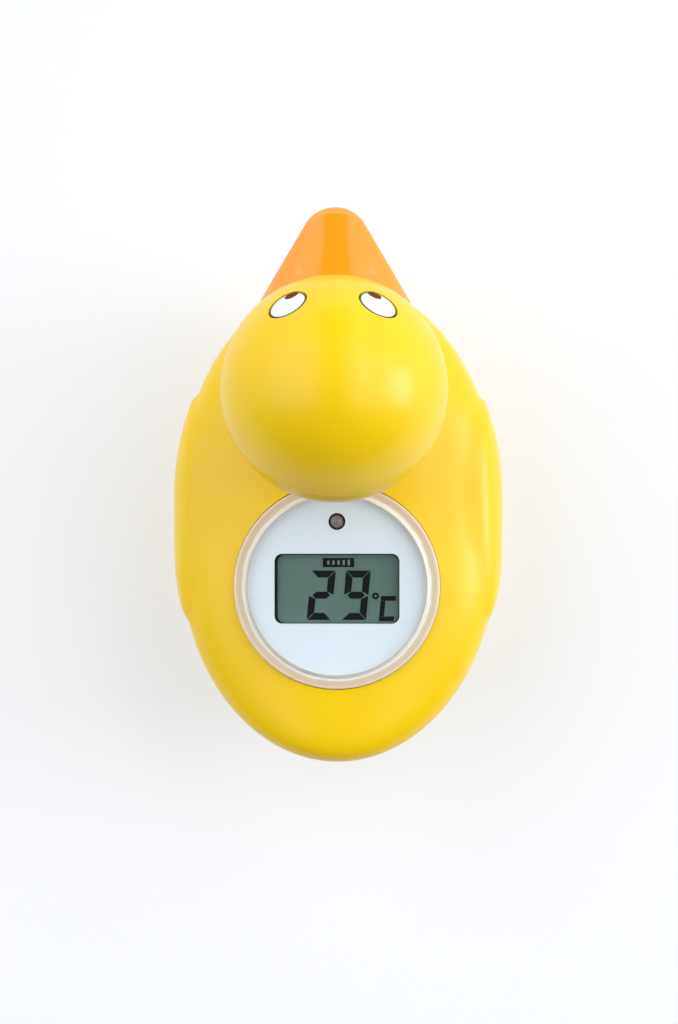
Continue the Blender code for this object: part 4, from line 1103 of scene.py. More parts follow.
@dataclass
class ModuleSeat:
    """Heights and radii of the openings that carry the thermometer module."""

    axis: Pair = (0.0, 18.25 * MM)
    seat_z: float = 40.8 * MM
    deck_bore: float = 18.4 * MM
    cap_recess: float = 20.12 * MM
    cap_top: float = 44.1 * MM
    collar_width: float = 3.6 * MM
    collar_depth: float = 5.0 * MM
    base_bore: float = 17.3 * MM
    flange_recess: float = 19.7 * MM
    base_top: float = 2.5 * MM
    wall: float = 2.2 * MM
    lip_soft: float = 0.25 * MM

    @property
    def collar_z(self) -> float:
        """The lower end of the collar round the upper opening."""
        return self.seat_z - self.collar_depth

    def deck_collar(self, top: float) -> Object:
        """The solid collar round the upper opening, from under the seat to above the back."""
        radius = self.deck_bore + self.collar_width
        return plug("deck_collar", self.axis, radius, self.collar_z, top, 128)

    def base_collar(self) -> Object:
        """The solid collar round the lower opening."""
        top, radius = self.base_top + self.wall, self.flange_recess + self.wall
        return plug("base_collar", self.axis, radius, 0.0, top, 128)

    def deck_hole(self) -> Object:
        """The stepped opening in the back, with a softened lower lip."""
        above, below = self.cap_top + GAP, self.collar_z - self.wall
        soft = arc((self.deck_bore + self.lip_soft, self.seat_z - self.lip_soft), self.lip_soft, 90, 180, 4)
        profile = [(0.0, above), (self.cap_recess, above), (self.cap_recess, self.seat_z), *soft,
                   (self.deck_bore, below), (0.0, below)]
        return lathe("deck_hole", profile, self.axis)

    def base_hole(self) -> Object:
        """The stepped opening in the base."""
        above = self.base_top + 2 * self.wall
        profile = [(0.0, above), (self.base_bore, above), (self.base_bore, self.base_top),
                   (self.flange_recess, self.base_top), (self.flange_recess, -self.wall), (0.0, -self.wall)]
        return lathe("base_hole", profile, self.axis)


@dataclass
class Beak:
    """The glossy beak: arched upper bill, mouth groove, flatter lower bill and a peg behind."""

    head: Vector
    head_radius: float
    length: float = 34.3 * MM
    root: float = 12.6 * MM
    widest: float = 16.0 * MM
    half_width: float = 14.2 * MM
    root_tuck: float = 1.4 * MM
    tip_radius: float = 6.4 * MM
    drop: float = 5.0 * MM
    fall: float = 2.6 * MM
    crown_radius: float = 17.0 * MM
    jaw_radius: float = 22.0 * MM
    lip: float = 1.3 * MM
    groove: float = 0.8 * MM
    pocket: float = 1.2 * MM
    peg_half_width: float = 7.0 * MM
    peg_half_height: float = 2.6 * MM
    peg_inside: float = 4.7 * MM
    peg_outside: float = 2.2 * MM

    @property
    def mouth_z(self) -> float:
        """The height of the mouth line at the face."""
        return self.head.z - self.drop

    def half_width_at(self, ahead: float) -> float:
        """Half the beak's width at a distance ahead of the head's centre.

        Args:
            ahead: The distance.

        Returns:
            Half the width, 0 at the tip.
        """
        tip_middle = self.length - self.tip_radius
        lean = math.atan((self.half_width - self.tip_radius) / (tip_middle - self.widest))
        tangent = tip_middle + self.tip_radius * math.sin(lean)
        if ahead < self.widest:
            back = (self.widest - ahead) / (self.widest - self.root)
            return self.half_width - self.root_tuck * back**2
        if ahead < tangent:
            tangent_width = self.tip_radius * math.cos(lean)
            share = (ahead - self.widest) / (tangent - self.widest)
            return self.half_width + (tangent_width - self.half_width) * share
        return math.sqrt(max(self.tip_radius**2 - (ahead - tip_middle) ** 2, 0.0))

    def section(self, ahead: float, grow: float, count: int = 42) -> list[Point]:
        """One closed section of the beak.

        Args:
            ahead: Its distance from the head's centre.
            grow: A clearance all round.
            count: Steps over each bill.

        Returns:
            The points of the section.
        """
        half = self.half_width_at(ahead)
        share = max(ahead - self.head_radius, 0.0) / (self.length - self.head_radius)
        mouth = self.mouth_z - self.fall * share
        small = min(1.0, half / self.tip_radius)
        points: list[Point] = []
        for part, crown in ((1, self.crown_radius), (-1, self.jaw_radius)):
            points.append((part * (half - self.groove * small + grow), self.head.y - ahead, mouth))
            for index in range(count + 1):
                angle = math.radians(6 + 168 * index / count)
                x = half * math.cos(angle) * part
                arch = math.sqrt(crown**2 - x**2) - math.sqrt(crown**2 - half**2)
                rise = self.lip * small * math.sin(angle) ** 0.5 + arch + grow * math.sin(angle)
                points.append((x + grow * math.cos(angle) * part, self.head.y - ahead, mouth + part * rise))
        return points

    def body(self, name: str, grow: float) -> Object:
        """The beak's outer form, grown by a clearance when it cuts the face.

        Args:
            name: The object's name.
            grow: The clearance.

        Returns:
            The closed form.
        """
        tip_middle = self.length - self.tip_radius
        stations = [self.root + (tip_middle - self.root) * step / 28 for step in range(29)]
        stations += [tip_middle + self.tip_radius * math.sin(math.radians(6 * step)) for step in range(1, 15)]
        bm = bmesh.new()
        tip = (0.0, self.head.y - self.length - grow, self.mouth_z - self.fall)
        loft(bm, [self.section(station, grow) for station in stations], None, tip)
        return to_object(name, bm)

    def peg(self, name: str, grow: float) -> Object:
        """The oval peg behind the beak.

        Args:
            name: The object's name.
            grow: A clearance all round.

        Returns:
            The closed peg.
        """
        rings = []
        for ahead in (self.head_radius - self.peg_inside - grow, self.head_radius + self.peg_outside):
            turns = [2 * math.pi * step / 48 for step in range(48)]
            rings.append([((self.peg_half_width + grow) * math.cos(a), self.head.y - ahead,
                           self.mouth_z + (self.peg_half_height + grow) * math.sin(a)) for a in turns])
        bm = bmesh.new()
        loft(bm, rings)
        return to_object(name, bm)

    def build(self) -> Object:
        """Fits the beak to the face, adds its peg and dresses it."""
        beak = self.body("beak_gloss", 0.0)
        carve(beak, ball("beak_ball", self.head, self.head_radius - self.pocket + GAP))
        join(beak, self.peg("beak_peg", 0.0))
        return dress(beak, Palette.BEAK, "beak_plastic", "beak")


@dataclass
class Eyes:
    """Painted inlays in the two shallow ovals of the face."""

    head: Vector
    head_radius: float
    azimuth: float = 29.6
    elevation: float = 37.2
    half_width: float = 3.9 * MM
    half_height: float = 3.45 * MM
    depth: float = 0.5 * MM
    line_width: float = 0.42 * MM
    pupil_half_width: float = 1.4 * MM
    pupil_half_height: float = 1.1 * MM
    pupil_shift: Pair = (-1.4 * MM, -1.75 * MM)
    play: float = 0.05 * MM

    def axes(self, side: int) -> tuple[Vector, Vector, Vector]:
        """The outward, sideways and upward directions of an eye.

        Args:
            side: 1 for the left eye, -1 for the right one.

        Returns:
            Three unit vectors.
        """
        azimuth, elevation = math.radians(self.azimuth), math.radians(self.elevation)
        flat = math.cos(elevation)
        normal = Vector((side * math.sin(azimuth) * flat, -math.cos(azimuth) * flat, math.sin(elevation)))
        across = Vector((0.0, 0.0, 1.0)).cross(normal).normalized()
        return normal, across, normal.cross(across)

    def ring(self, side: int, radius: float, half_width: float, half_height: float,
             shift: Pair = (0.0, 0.0), steps: int = 56) -> list[Point]:
        """An oval on a ball round the head's centre.

        Args:
            side: 1 for the left eye, -1 for the right one.
            radius: The ball's radius.
            half_width: Half the oval's width.
            half_height: Half its height.
            shift: How far its middle is moved outwards and up.
            steps: The number of points.

        Returns:
            The oval's points.
        """
        normal, across, upward = self.axes(side)
        points = []
        for step in range(steps):
            angle = 2 * math.pi * step / steps
            offset = across * (half_width * math.cos(angle) + side * shift[0])
            offset += upward * (half_height * math.sin(angle) + shift[1])
            direction = (normal * self.head_radius + offset).normalized()
            points.append(tuple(self.head + direction * radius))
        return points

    def hollow(self, side: int) -> Object:
        """The oval recess that holds an eye.

        Args:
            side: 1 for the left eye, -1 for the right one.

        Returns:
            The body that is cut out of the face.
        """
        low, high = self.head_radius - self.depth, self.head_radius + 2 * self.depth
        normal = self.axes(side)[0]
        shares = [(low, share / 8) for share in range(1, 9)] + [(high, 1.0)]
        rings = [self.ring(side, r, self.half_width * s, self.half_height * s) for r, s in shares]
        bm = bmesh.new()
        loft(bm, rings, tuple(self.head + normal * low), tuple(self.head + normal * high))
        return to_object(f"eye_guide_{side}", bm)

    def inlay(self, name: str, side: int, half: Pair, low: float, high: float,
              shift: Pair = (0.0, 0.0)) -> Object:
        """A thin domed oval that follows the head.

        Args:
            name: The piece's name.
            side: 1 for the left eye, -1 for the right one.
            half: Half its width and height.
            low: The radius of its back.
            high: The radius of its face.
            shift: How far its middle is moved outwards and up.

        Returns:
            The closed inlay.
        """
        normal, across, upward = self.axes(side)
        centre = (normal * self.head_radius + across * side * shift[0] + upward * shift[1]).normalized()
        rings = []
        for step in range(1, 13):
            share = math.sin(math.pi / 2 * step / 12)
            lift = (1 - share**6) ** 0.5
            rings.append(self.ring(side, low + (high - low) * lift, half[0] * share, half[1] * share, shift))
        for step in range(11, 0, -1):
            share = step / 12
            rings.append(self.ring(side, low, half[0] * share, half[1] * share, shift))
        bm = bmesh.new()
        loft(bm, rings, tuple(self.head + centre * high), tuple(self.head + centre * low))
        return to_object(name, bm)

    def build(self) -> None:
        """Lays the line, the white and the pupil of both eyes."""
        floor = self.head_radius - self.depth
        wide, tall = self.half_width - self.play, self.half_height - self.play
        white = (wide - self.line_width, tall - self.line_width)
        pupil = (self.pupil_half_width, self.pupil_half_height)
        middle = (0.0, 0.0)
        layers = [
            ("eye_line", Palette.EYE_LINE, (wide, tall), 0.0, 0.46 * MM, middle),
            ("eye_white", Palette.EYE_WHITE, white, 0.3 * MM, 0.51 * MM, middle),
            ("eye_pupil", Palette.EYE_BROWN, pupil, 0.4 * MM, 0.56 * MM, self.pupil_shift),
        ]
        for side, word in ((1, "left"), (-1, "right")):
            for name, finish, half, low, high, shift in layers:
                piece = settle(self.inlay(f"{name}_{word}", side, half, floor + low, floor + high, shift))
                dress(piece, finish, "vinyl")


@dataclass
class WindowEnd:
    """Clear cap, silicone gasket, white face plate and the warning lamp."""

    axis: Pair
    cap_z: float = 42.1 * MM
    cap_radius: float = 20.0 * MM
    flange: float = 1.3 * MM
    step: float = 0.7 * MM
    step_radius: float = 17.8 * MM
    skirt_bore: float = 17.3 * MM
    skirt_radius: float = 18.1 * MM
    skirt: float = 4.3 * MM
    window: float = 1.2 * MM
    plate_z: float = 41.4 * MM
    plate: float = 1.2 * MM
    plate_radius: float = 17.2 * MM
    plate_show: float = 0.22 * MM
    gasket_z: float = 41.1 * MM
    gasket: float = 0.7 * MM
    opening: Pair = (24.3 * MM, 13.6 * MM)
    opening_corner: float = 1.5 * MM
    opening_back: float = 0.55 * MM
    # How far the painted shadow shows inside the window: on the +X side, and on the other sides
    painted_shadow_shows: Pair = (0.55 * MM, 0.14 * MM)
    lamp_forward: float = 12.5 * MM
    lamp_radius: float = 1.5 * MM
    lamp_rim: float = 0.4 * MM
    lamp_z: float = 36.1 * MM
    lamp_rim_height: float = 1.0 * MM
    cap_soft: float = 0.35 * MM
    step_soft: float = 0.2 * MM
    step_flat: float = 1.4 * MM
    gasket_soft: float = 0.18 * MM
    plate_soft: float = 0.12 * MM
    painted_shadow_under: Pair = (0.24 * MM, 0.05 * MM)
    painted_shadow_hidden: float = 0.5 * MM
    cup_drop: float = 1.0 * MM
    cup_radius: float = 1.05 * MM
    cup_bore: float = 0.8 * MM
    cup_floor: float = 0.36 * MM
    cup_depth: float = 0.6 * MM
    cup_height: float = 1.6 * MM
    die_radii: Pair = (0.34 * MM, 0.38 * MM)
    die_drops: Pair = (0.1 * MM, 0.14 * MM)
    die_shift: float = 0.25 * MM

    @property
    def top(self) -> float:
        """The height of the cap's face."""
        return self.cap_z + self.flange + self.step

    @property
    def window_middle(self) -> Pair:
        """The middle of the display's opening."""
        return (self.axis[0], self.axis[1] + self.opening_back)

    @property
    def lamp_place(self) -> Pair:
        """Where the lamp's axis stands."""
        return (self.axis[0], self.axis[1] - self.lamp_forward)

    def build(self) -> None:
        """Builds and dresses the cap, the gasket, the plate, the dark sheet of painted shadow under the
        window and the lamp.
        """
        self.build_cap()
        self.build_gasket()
        self.build_plate()
        self.build_painted_shadow()
        self.build_lamp()

    def build_gasket(self) -> None:
        """Turns the flat silicone ring under the cap's flange."""
        soft = self.gasket_soft
        inner, outer = self.skirt_radius + GAP + soft, self.cap_radius - GAP - soft
        low, high = self.gasket_z + soft, self.gasket_z + self.gasket - soft
        outline: Profile = []
        corners = ((outer, high, 90), (outer, low, 0), (inner, low, -90), (inner, high, 180))
        for radius, height, start in corners:
            outline += arc((radius, height), soft, start, start - 90, 4)
        gasket = settle(lathe("gasket_ring", outline, self.axis, closed=True))
        dress(gasket, Palette.SILICONE, "silicone", "cap_gasket")

    def build_cap(self) -> None:
        """Turns the clear cap with its stepped, rounded face and its skirt."""
        flange_top = self.cap_z + self.flange
        soft, step = self.cap_soft, self.step_soft
        profile = [(0.0, self.top), (self.step_radius - self.step_flat, self.top)]
        profile += arc((self.step_radius - soft, self.top - soft), soft, 90, 0, 6)
        profile += arc((self.step_radius + step, flange_top + step), step, 180, 270, 4)
        profile += arc((self.cap_radius - soft, flange_top - soft), soft, 90, 0, 6)
        profile += [(self.cap_radius, self.cap_z), (self.skirt_radius, self.cap_z),
                    (self.skirt_radius, self.cap_z - self.skirt), (self.skirt_bore, self.cap_z - self.skirt),
                    (self.skirt_bore, self.plate_z), (self.plate_radius + GAP, self.plate_z),
                    (self.plate_radius + GAP, self.top - self.window), (0.0, self.top - self.window)]
        cap = settle(lathe("clear_cap", profile, self.axis, steps=160))
        dress(cap, Palette.CAP, "clear_plastic", "window_cap")

    def build_plate(self) -> None:
        """Cuts the display window and the lamp's hole into the white plate and rounds the edges."""
        low, high = self.plate_z, self.plate_z + self.plate
        plate = plug("white_plate", self.axis, self.plate_radius + self.plate_show, low, high, 160)
        wide, tall = self.opening
        outline = rounded_rectangle(wide / 2, tall / 2, self.opening_corner, self.window_middle)
        window = prism("display_opening", outline, low - MM, high + MM)
        hole = plug("lamp_hole", self.lamp_place, self.lamp_radius + GAP / 2, low - MM, high + MM)
        carve(plate, window, hole)
        rounded(plate, self.plate_soft, 2)
        dress(plate, Palette.WHITE_ABS, "white_plastic", "face_plate")

    def build_painted_shadow(self) -> None:
        """Lays a dark sheet under the display window as painted shadow for the shade of the window's walls;
        more of it shows on the +X side, where that shade is widest.
        """
        low, high = (self.plate_z - under for under in self.painted_shadow_under)
        wide, tall = self.opening
        x, y = self.window_middle
        outer = rounded_rectangle(wide / 2 + self.painted_shadow_hidden, tall / 2 + self.painted_shadow_hidden,
                                  self.opening_corner, (x, y))
        shadow_sheet = prism("painted_window_shadow", outer, low, high)
        near, far = self.painted_shadow_shows
        inner = rounded_rectangle((wide - near - far) / 2, tall / 2 - far, self.opening_corner,
                                  (x - (near - far) / 2, y + far / 2))
        carve(shadow_sheet, prism("painted_shadow_hole", inner, low - MM, high + MM))
        dress(shadow_sheet, Palette.WINDOW_SHADOW, "black_plastic")

    def build_lamp(self) -> None:
        """Makes the lamp's clear dome over its metal cup and dark die."""
        x, y = self.lamp_place
        top = self.plate_z + self.plate - GAP
        rim_top, rim = self.lamp_z + self.lamp_rim_height, self.lamp_radius + self.lamp_rim
        profile = arc((0.0, top - self.lamp_radius), self.lamp_radius, 90, 0, 14)
        profile += [(self.lamp_radius, rim_top), (rim, rim_top), (rim, self.lamp_z), (0.0, self.lamp_z)]
        dome = settle(lathe("lamp_dome", profile, (x, y), steps=64))
        dress(dome, Palette.LAMP, "led_epoxy", "warning_led")
        lip = top - self.cup_drop
        floor, foot = lip - self.cup_depth, lip - self.cup_height
        cup = [(0.0, floor), (self.cup_floor, floor), (self.cup_bore, lip), (self.cup_radius, lip),
               (self.cup_radius, foot), (0.0, foot)]
        dress(settle(lathe("lamp_cup", cup, (x, y), steps=48)), Palette.LAMP_CUP, "led_epoxy")
        (narrow, broad), (middle, edge) = self.die_radii, self.die_drops
        die = [(0.0, lip - middle), (narrow, lip - edge), (broad, floor), (0.0, floor)]
        seat = (x, y + self.die_shift)
        dress(settle(lathe("lamp_die", die, seat, steps=24)), Palette.BLACK_ABS, "led_epoxy")


@dataclass
class Bar:
    """One straight bar of a display sign: its middle, size, end mitres and turn in degrees."""

    x: float
    y: float
    length: float
    width: float
    mitres: Pair = (0.0, 0.0)
    turn: float = 0.0
    pointed: bool = False


class Sign(Enum):
    """The signs on the display, as the lit bars of a seven-bar cell."""

    TWO = "abged"
    NINE = "abcdfg"


def group_inputs(tree: NodeTree, **kinds: str) -> Node:
    """Names a tree's inputs and its output.

    Args:
        tree: The Geometry Nodes tree.
        kinds: The kind of each input by its name.

    Returns:
        The input node.
    """
    for name, kind in kinds.items():
        tree.interface.new_socket(name=name, in_out="INPUT", socket_type=f"NodeSocket{kind}")
    tree.interface.new_socket(name="Result", in_out="OUTPUT", socket_type="NodeSocketGeometry")
    return add_node(tree, "NodeGroupInput")


def grow(obj: Object, tree: NodeTree, place: Matrix | None = None, **values: float | Material) -> Object:
    """Runs a Geometry Nodes tree on an object and keeps the plain mesh.

    Args:
        obj: The object that holds the tree's points.
        tree: The tree.
        place: A move for the finished mesh.
        values: The tree's inputs by name.

    Returns:
        The object with its final mesh.
    """
    modifier = obj.modifiers.new(tree.name, "NODES")
    modifier.node_group = tree
    names = {item.name: item.identifier for item in tree.interface.items_tree if item.in_out == "INPUT"}
    for name, value in values.items():
        modifier[names[name]] = value
    return settle(obj, place)


@dataclass
class Display:
    """The liquid crystal cell with its bars, and the tree that draws them."""

    axis: Pair
    glass_z: float = 41.1 * MM
    back: float = 0.55 * MM
    size: tuple[float, float, float] = (26.0 * MM, 15.4 * MM, 1.8 * MM)
    digit: Pair = (4.75 * MM, 9.6 * MM)
    stroke: float = 1.34 * MM
    unit: Pair = (2.9 * MM, 4.9 * MM)
    unit_stroke: float = 0.92 * MM
    slit: float = 0.1 * MM
    slant: float = 0.1
    ink: float = 0.05 * MM
    glass_corner: float = 0.3 * MM
    glass_soft: float = 0.08 * MM
    print_lift: float = 0.02 * MM
    tick_lift: float = 0.05 * MM
    tens_place: Pair = (-2.95 * MM, -1.3 * MM)
    ones_place: Pair = (3.85 * MM, -1.3 * MM)
    unit_place: Pair = (10.2 * MM, -3.9 * MM)
    block_place: Pair = (0.3 * MM, 5.05 * MM)
    block_size: Pair = (6.1 * MM, 1.75 * MM)
    tick_pitch: float = 1.0 * MM
    tick_width: float = 0.42 * MM
    tick_height: float = 0.9 * MM
    tick_growth: float = 0.1 * MM
    degree_place: Pair = (-7.5 * MM, 1.45 * MM)
    degree_radii: Pair = (0.26 * MM, 0.66 * MM)

    def tree(self) -> NodeTree:
        """Builds the tree: a flat cell on each point, shaped by the point's own sizes and then raised.

        Returns:
            The Geometry Nodes tree.
        """
        tree = bpy.data.node_groups.new("display_bars", "GeometryNodeTree")
        given = group_inputs(tree, Bars="Geometry", Thickness="Float", Slant="Float", Ink="Material")
        cell = add_node(tree, "GeometryNodeMeshGrid", inputs={
            "Size X": 2.0, "Size Y": 2.0, "Vertices X": 2, "Vertices Y": 3})
        here = add_node(tree, "GeometryNodeInputPosition").outputs["Position"]
        marked = add_node(tree, "GeometryNodeStoreNamedAttribute", {
            "data_type": "FLOAT_VECTOR", "domain": "POINT"}, {
            "Geometry": cell.outputs["Mesh"], "Name": "corner", "Value": here})
        placed = add_node(tree, "GeometryNodeInstanceOnPoints", inputs={
            "Points": given.outputs["Bars"], "Instance": marked.outputs["Geometry"]})
        flat = add_node(tree, "GeometryNodeRealizeInstances", inputs={
            "Geometry": placed.outputs["Instances"]})

        def read(name: str, kind: str = "FLOAT") -> NodeSocket:
            """Reads one of the points' own values."""
            node = add_node(tree, "GeometryNodeInputNamedAttribute", {"data_type": kind}, {"Name": name})
            return next(socket for socket in node.outputs if socket.enabled)

        corner = read("corner", "FLOAT_VECTOR")
        parts = add_node(tree, "ShaderNodeSeparateXYZ", inputs={"Vector": corner})
        cx, cy = parts.outputs["X"], parts.outputs["Y"]
        outer = maths(tree, "MULTIPLY_ADD", cy, -0.5, 0.5)
        point = maths(tree, "ABSOLUTE", cy)
        inset = add_node(tree, "ShaderNodeMix", {"data_type": "FLOAT"}, {
            0: read("pointed"), 2: outer, 3: point})
        end = maths(tree, "MULTIPLY_ADD", cx, 0.5, 0.5)
        mitre = add_node(tree, "ShaderNodeMix", {"data_type": "FLOAT"}, {
            0: end, 2: read("mitre_first"), 3: read("mitre_last")})
        cut_back = maths(tree, "MULTIPLY", inset.outputs[0], mitre.outputs[0])
        less = maths(tree, "MULTIPLY", cut_back, -1.0)
        half = maths(tree, "MULTIPLY_ADD", read("length"), 0.5, less)
        local = add_node(tree, "ShaderNodeCombineXYZ", inputs={
            "X": maths(tree, "MULTIPLY", cx, half),
            "Y": maths(tree, "MULTIPLY", cy, maths(tree, "MULTIPLY", read("width"), 0.5))})
        turned = add_node(tree, "ShaderNodeVectorRotate", {"rotation_type": "Z_AXIS"}, {
            "Vector": local.outputs["Vector"], "Angle": read("turn")})
        place = add_node(tree, "ShaderNodeVectorMath", {"operation": "SUBTRACT"}, {0: here, 1: corner})
        upright = add_node(tree, "ShaderNodeVectorMath", {"operation": "ADD"}, {
            0: place.outputs["Vector"], 1: turned.outputs["Vector"]})
        shape = add_node(tree, "ShaderNodeSeparateXYZ", inputs={"Vector": upright.outputs["Vector"]})
        lean = add_node(tree, "ShaderNodeCombineXYZ", inputs={
            "X": maths(tree, "MULTIPLY_ADD", shape.outputs["Y"], given.outputs["Slant"], shape.outputs["X"]),
            "Y": shape.outputs["Y"]})
        shaped = add_node(tree, "GeometryNodeSetPosition", inputs={
            "Geometry": flat.outputs["Geometry"], "Position": lean.outputs["Vector"]})
        raised = add_node(tree, "GeometryNodeExtrudeMesh", {"mode": "FACES"}, {
            "Mesh": shaped.outputs["Geometry"], "Offset Scale": given.outputs["Thickness"],
            "Individual": False})
        backs = add_node(tree, "GeometryNodeFlipFaces", inputs={"Mesh": shaped.outputs["Geometry"]})
        both = add_node(tree, "GeometryNodeJoinGeometry")
        tree.links.new(raised.outputs["Mesh"], both.inputs["Geometry"])
        tree.links.new(backs.outputs["Mesh"], both.inputs["Geometry"])
        merged = add_node(tree, "GeometryNodeMergeByDistance", inputs={
            "Geometry": both.outputs["Geometry"], "Distance": MERGE})
        inked = add_node(tree, "GeometryNodeSetMaterial", inputs={
            "Geometry": merged.outputs["Geometry"], "Material": given.outputs["Ink"]})
        add_node(tree, "NodeGroupOutput", inputs={"Result": inked.outputs["Geometry"]})
        return tree

    def cell_bars(self, sign: Sign, middle: Pair) -> list[Bar]:
        """The lit bars of one cell.

        Args:
            sign: Which bars are lit.
            middle: The cell's middle.

        Returns:
            The bars.
        """
        x, y = middle
        (wide, tall), stroke = self.digit, self.stroke
        across, along = wide - 2 * self.slit, tall / 2 - 2 * self.slit
        side, level = (wide - stroke) / 2, (tall - stroke) / 2
        corner, middle_cut = stroke, stroke / 2
        bars = {
            "a": Bar(x, y + level, across, stroke, (corner, corner), 0),
            "d": Bar(x, y - level, across, stroke, (corner, corner), 180),
            "g": Bar(x, y, wide - stroke, stroke, (middle_cut, middle_cut), 0, True),
            "f": Bar(x - side, y + tall / 4, along, stroke, (middle_cut, corner), 90),
            "b": Bar(x + side, y + tall / 4, along, stroke, (corner, middle_cut), -90),
            "e": Bar(x - side, y - tall / 4, along, stroke, (corner, middle_cut), 90),
            "c": Bar(x + side, y - tall / 4, along, stroke, (middle_cut, corner), -90),
        }
        return [bars[letter] for letter in sign.value]

    def unit_bars(self, middle: Pair) -> list[Bar]:
        """The three blunt bars of the unit sign.

        Args:
            middle: The sign's middle.

        Returns:
            The bars.
        """
        x, y = middle
        wide, tall = self.unit
        level, side = (tall - self.unit_stroke) / 2, (wide - self.unit_stroke) / 2
        upright = tall - 2 * self.unit_stroke - self.slit
        return [Bar(x, y + level, wide, self.unit_stroke),
                Bar(x - side, y, upright, self.unit_stroke, turn=90),
                Bar(x, y - level, wide, self.unit_stroke)]

    def draw(self, name: str, bars: list[Bar], tree: NodeTree, low: float, slant: float,
             finish: Palette) -> Object:
        """Runs the tree on a set of bars and lays the result on the glass.

        Args:
            name: The piece's name.
            bars: The bars, read with the beak's end up.
            tree: The bar tree.
            low: The height of the bars' back.
            slant: How far the tops lean.
            finish: The finish of the bars.

        Returns:
            The dressed piece.
        """
        mesh = bpy.data.meshes.new(name)
        mesh.from_pydata([(bar.x, bar.y, 0.0) for bar in bars], [], [])
        values = {
            "length": [bar.length for bar in bars], "width": [bar.width for bar in bars],
            "mitre_first": [bar.mitres[0] for bar in bars], "mitre_last": [bar.mitres[1] for bar in bars],
            "turn": [math.radians(bar.turn) for bar in bars], "pointed": [float(bar.pointed) for bar in bars],
        }
        for key, numbers in values.items():
            mesh.attributes.new(key, "FLOAT", "POINT").data.foreach_set("value", numbers)
        obj = linked(name, mesh)
        turned = Matrix.Translation((*self.middle, low)) @ Matrix.Rotation(math.pi, 4, "Z")
        grow(obj, tree, turned, Thickness=self.ink, Slant=slant, Ink=finish.material())
        return dress(obj, finish, "lcd_glass")

    @property
    def middle(self) -> Pair:
        """The middle of the display's window."""
        return (self.axis[0], self.axis[1] + self.back)

    def build(self) -> None:
        """Builds the glass, the reading, the degree ring and the level block."""
        wide, tall, thick = self.size
        outline = rounded_rectangle(wide / 2, tall / 2, self.glass_corner, self.middle, 4)
        glass = prism("display_cell", outline, self.glass_z - thick, self.glass_z)
        dress(rounded(glass, self.glass_soft, 1), Palette.LCD, "lcd_glass", "lcd_panel")
        tree = self.tree()
        reading = self.cell_bars(Sign.TWO, self.tens_place) + self.cell_bars(Sign.NINE, self.ones_place)
        reading += self.unit_bars(self.unit_place)
        low = self.glass_z + self.print_lift
        self.draw("display_reading", reading, tree, low, self.slant, Palette.INK)
        x, y = self.block_place
        self.draw("display_block", [Bar(x, y, *self.block_size)], tree, low, 0.0, Palette.INK)
        ticks = [Bar(x + self.tick_pitch * step, y, self.tick_width,
                     self.tick_height + self.tick_growth * step) for step in range(-2, 3)]
        self.draw("display_ticks", ticks, tree, self.glass_z + self.tick_lift, 0.0, Palette.INK_GAP)
        centre = (self.middle[0] + self.degree_place[0], self.middle[1] + self.degree_place[1])
        high, (inner, outer) = low + self.ink, self.degree_radii
        outline = [(inner, high), (outer, high), (outer, low), (inner, low)]
        ring = lathe("degree_ring", outline, centre, 40, True)
        dress(settle(ring), Palette.INK, "lcd_glass")


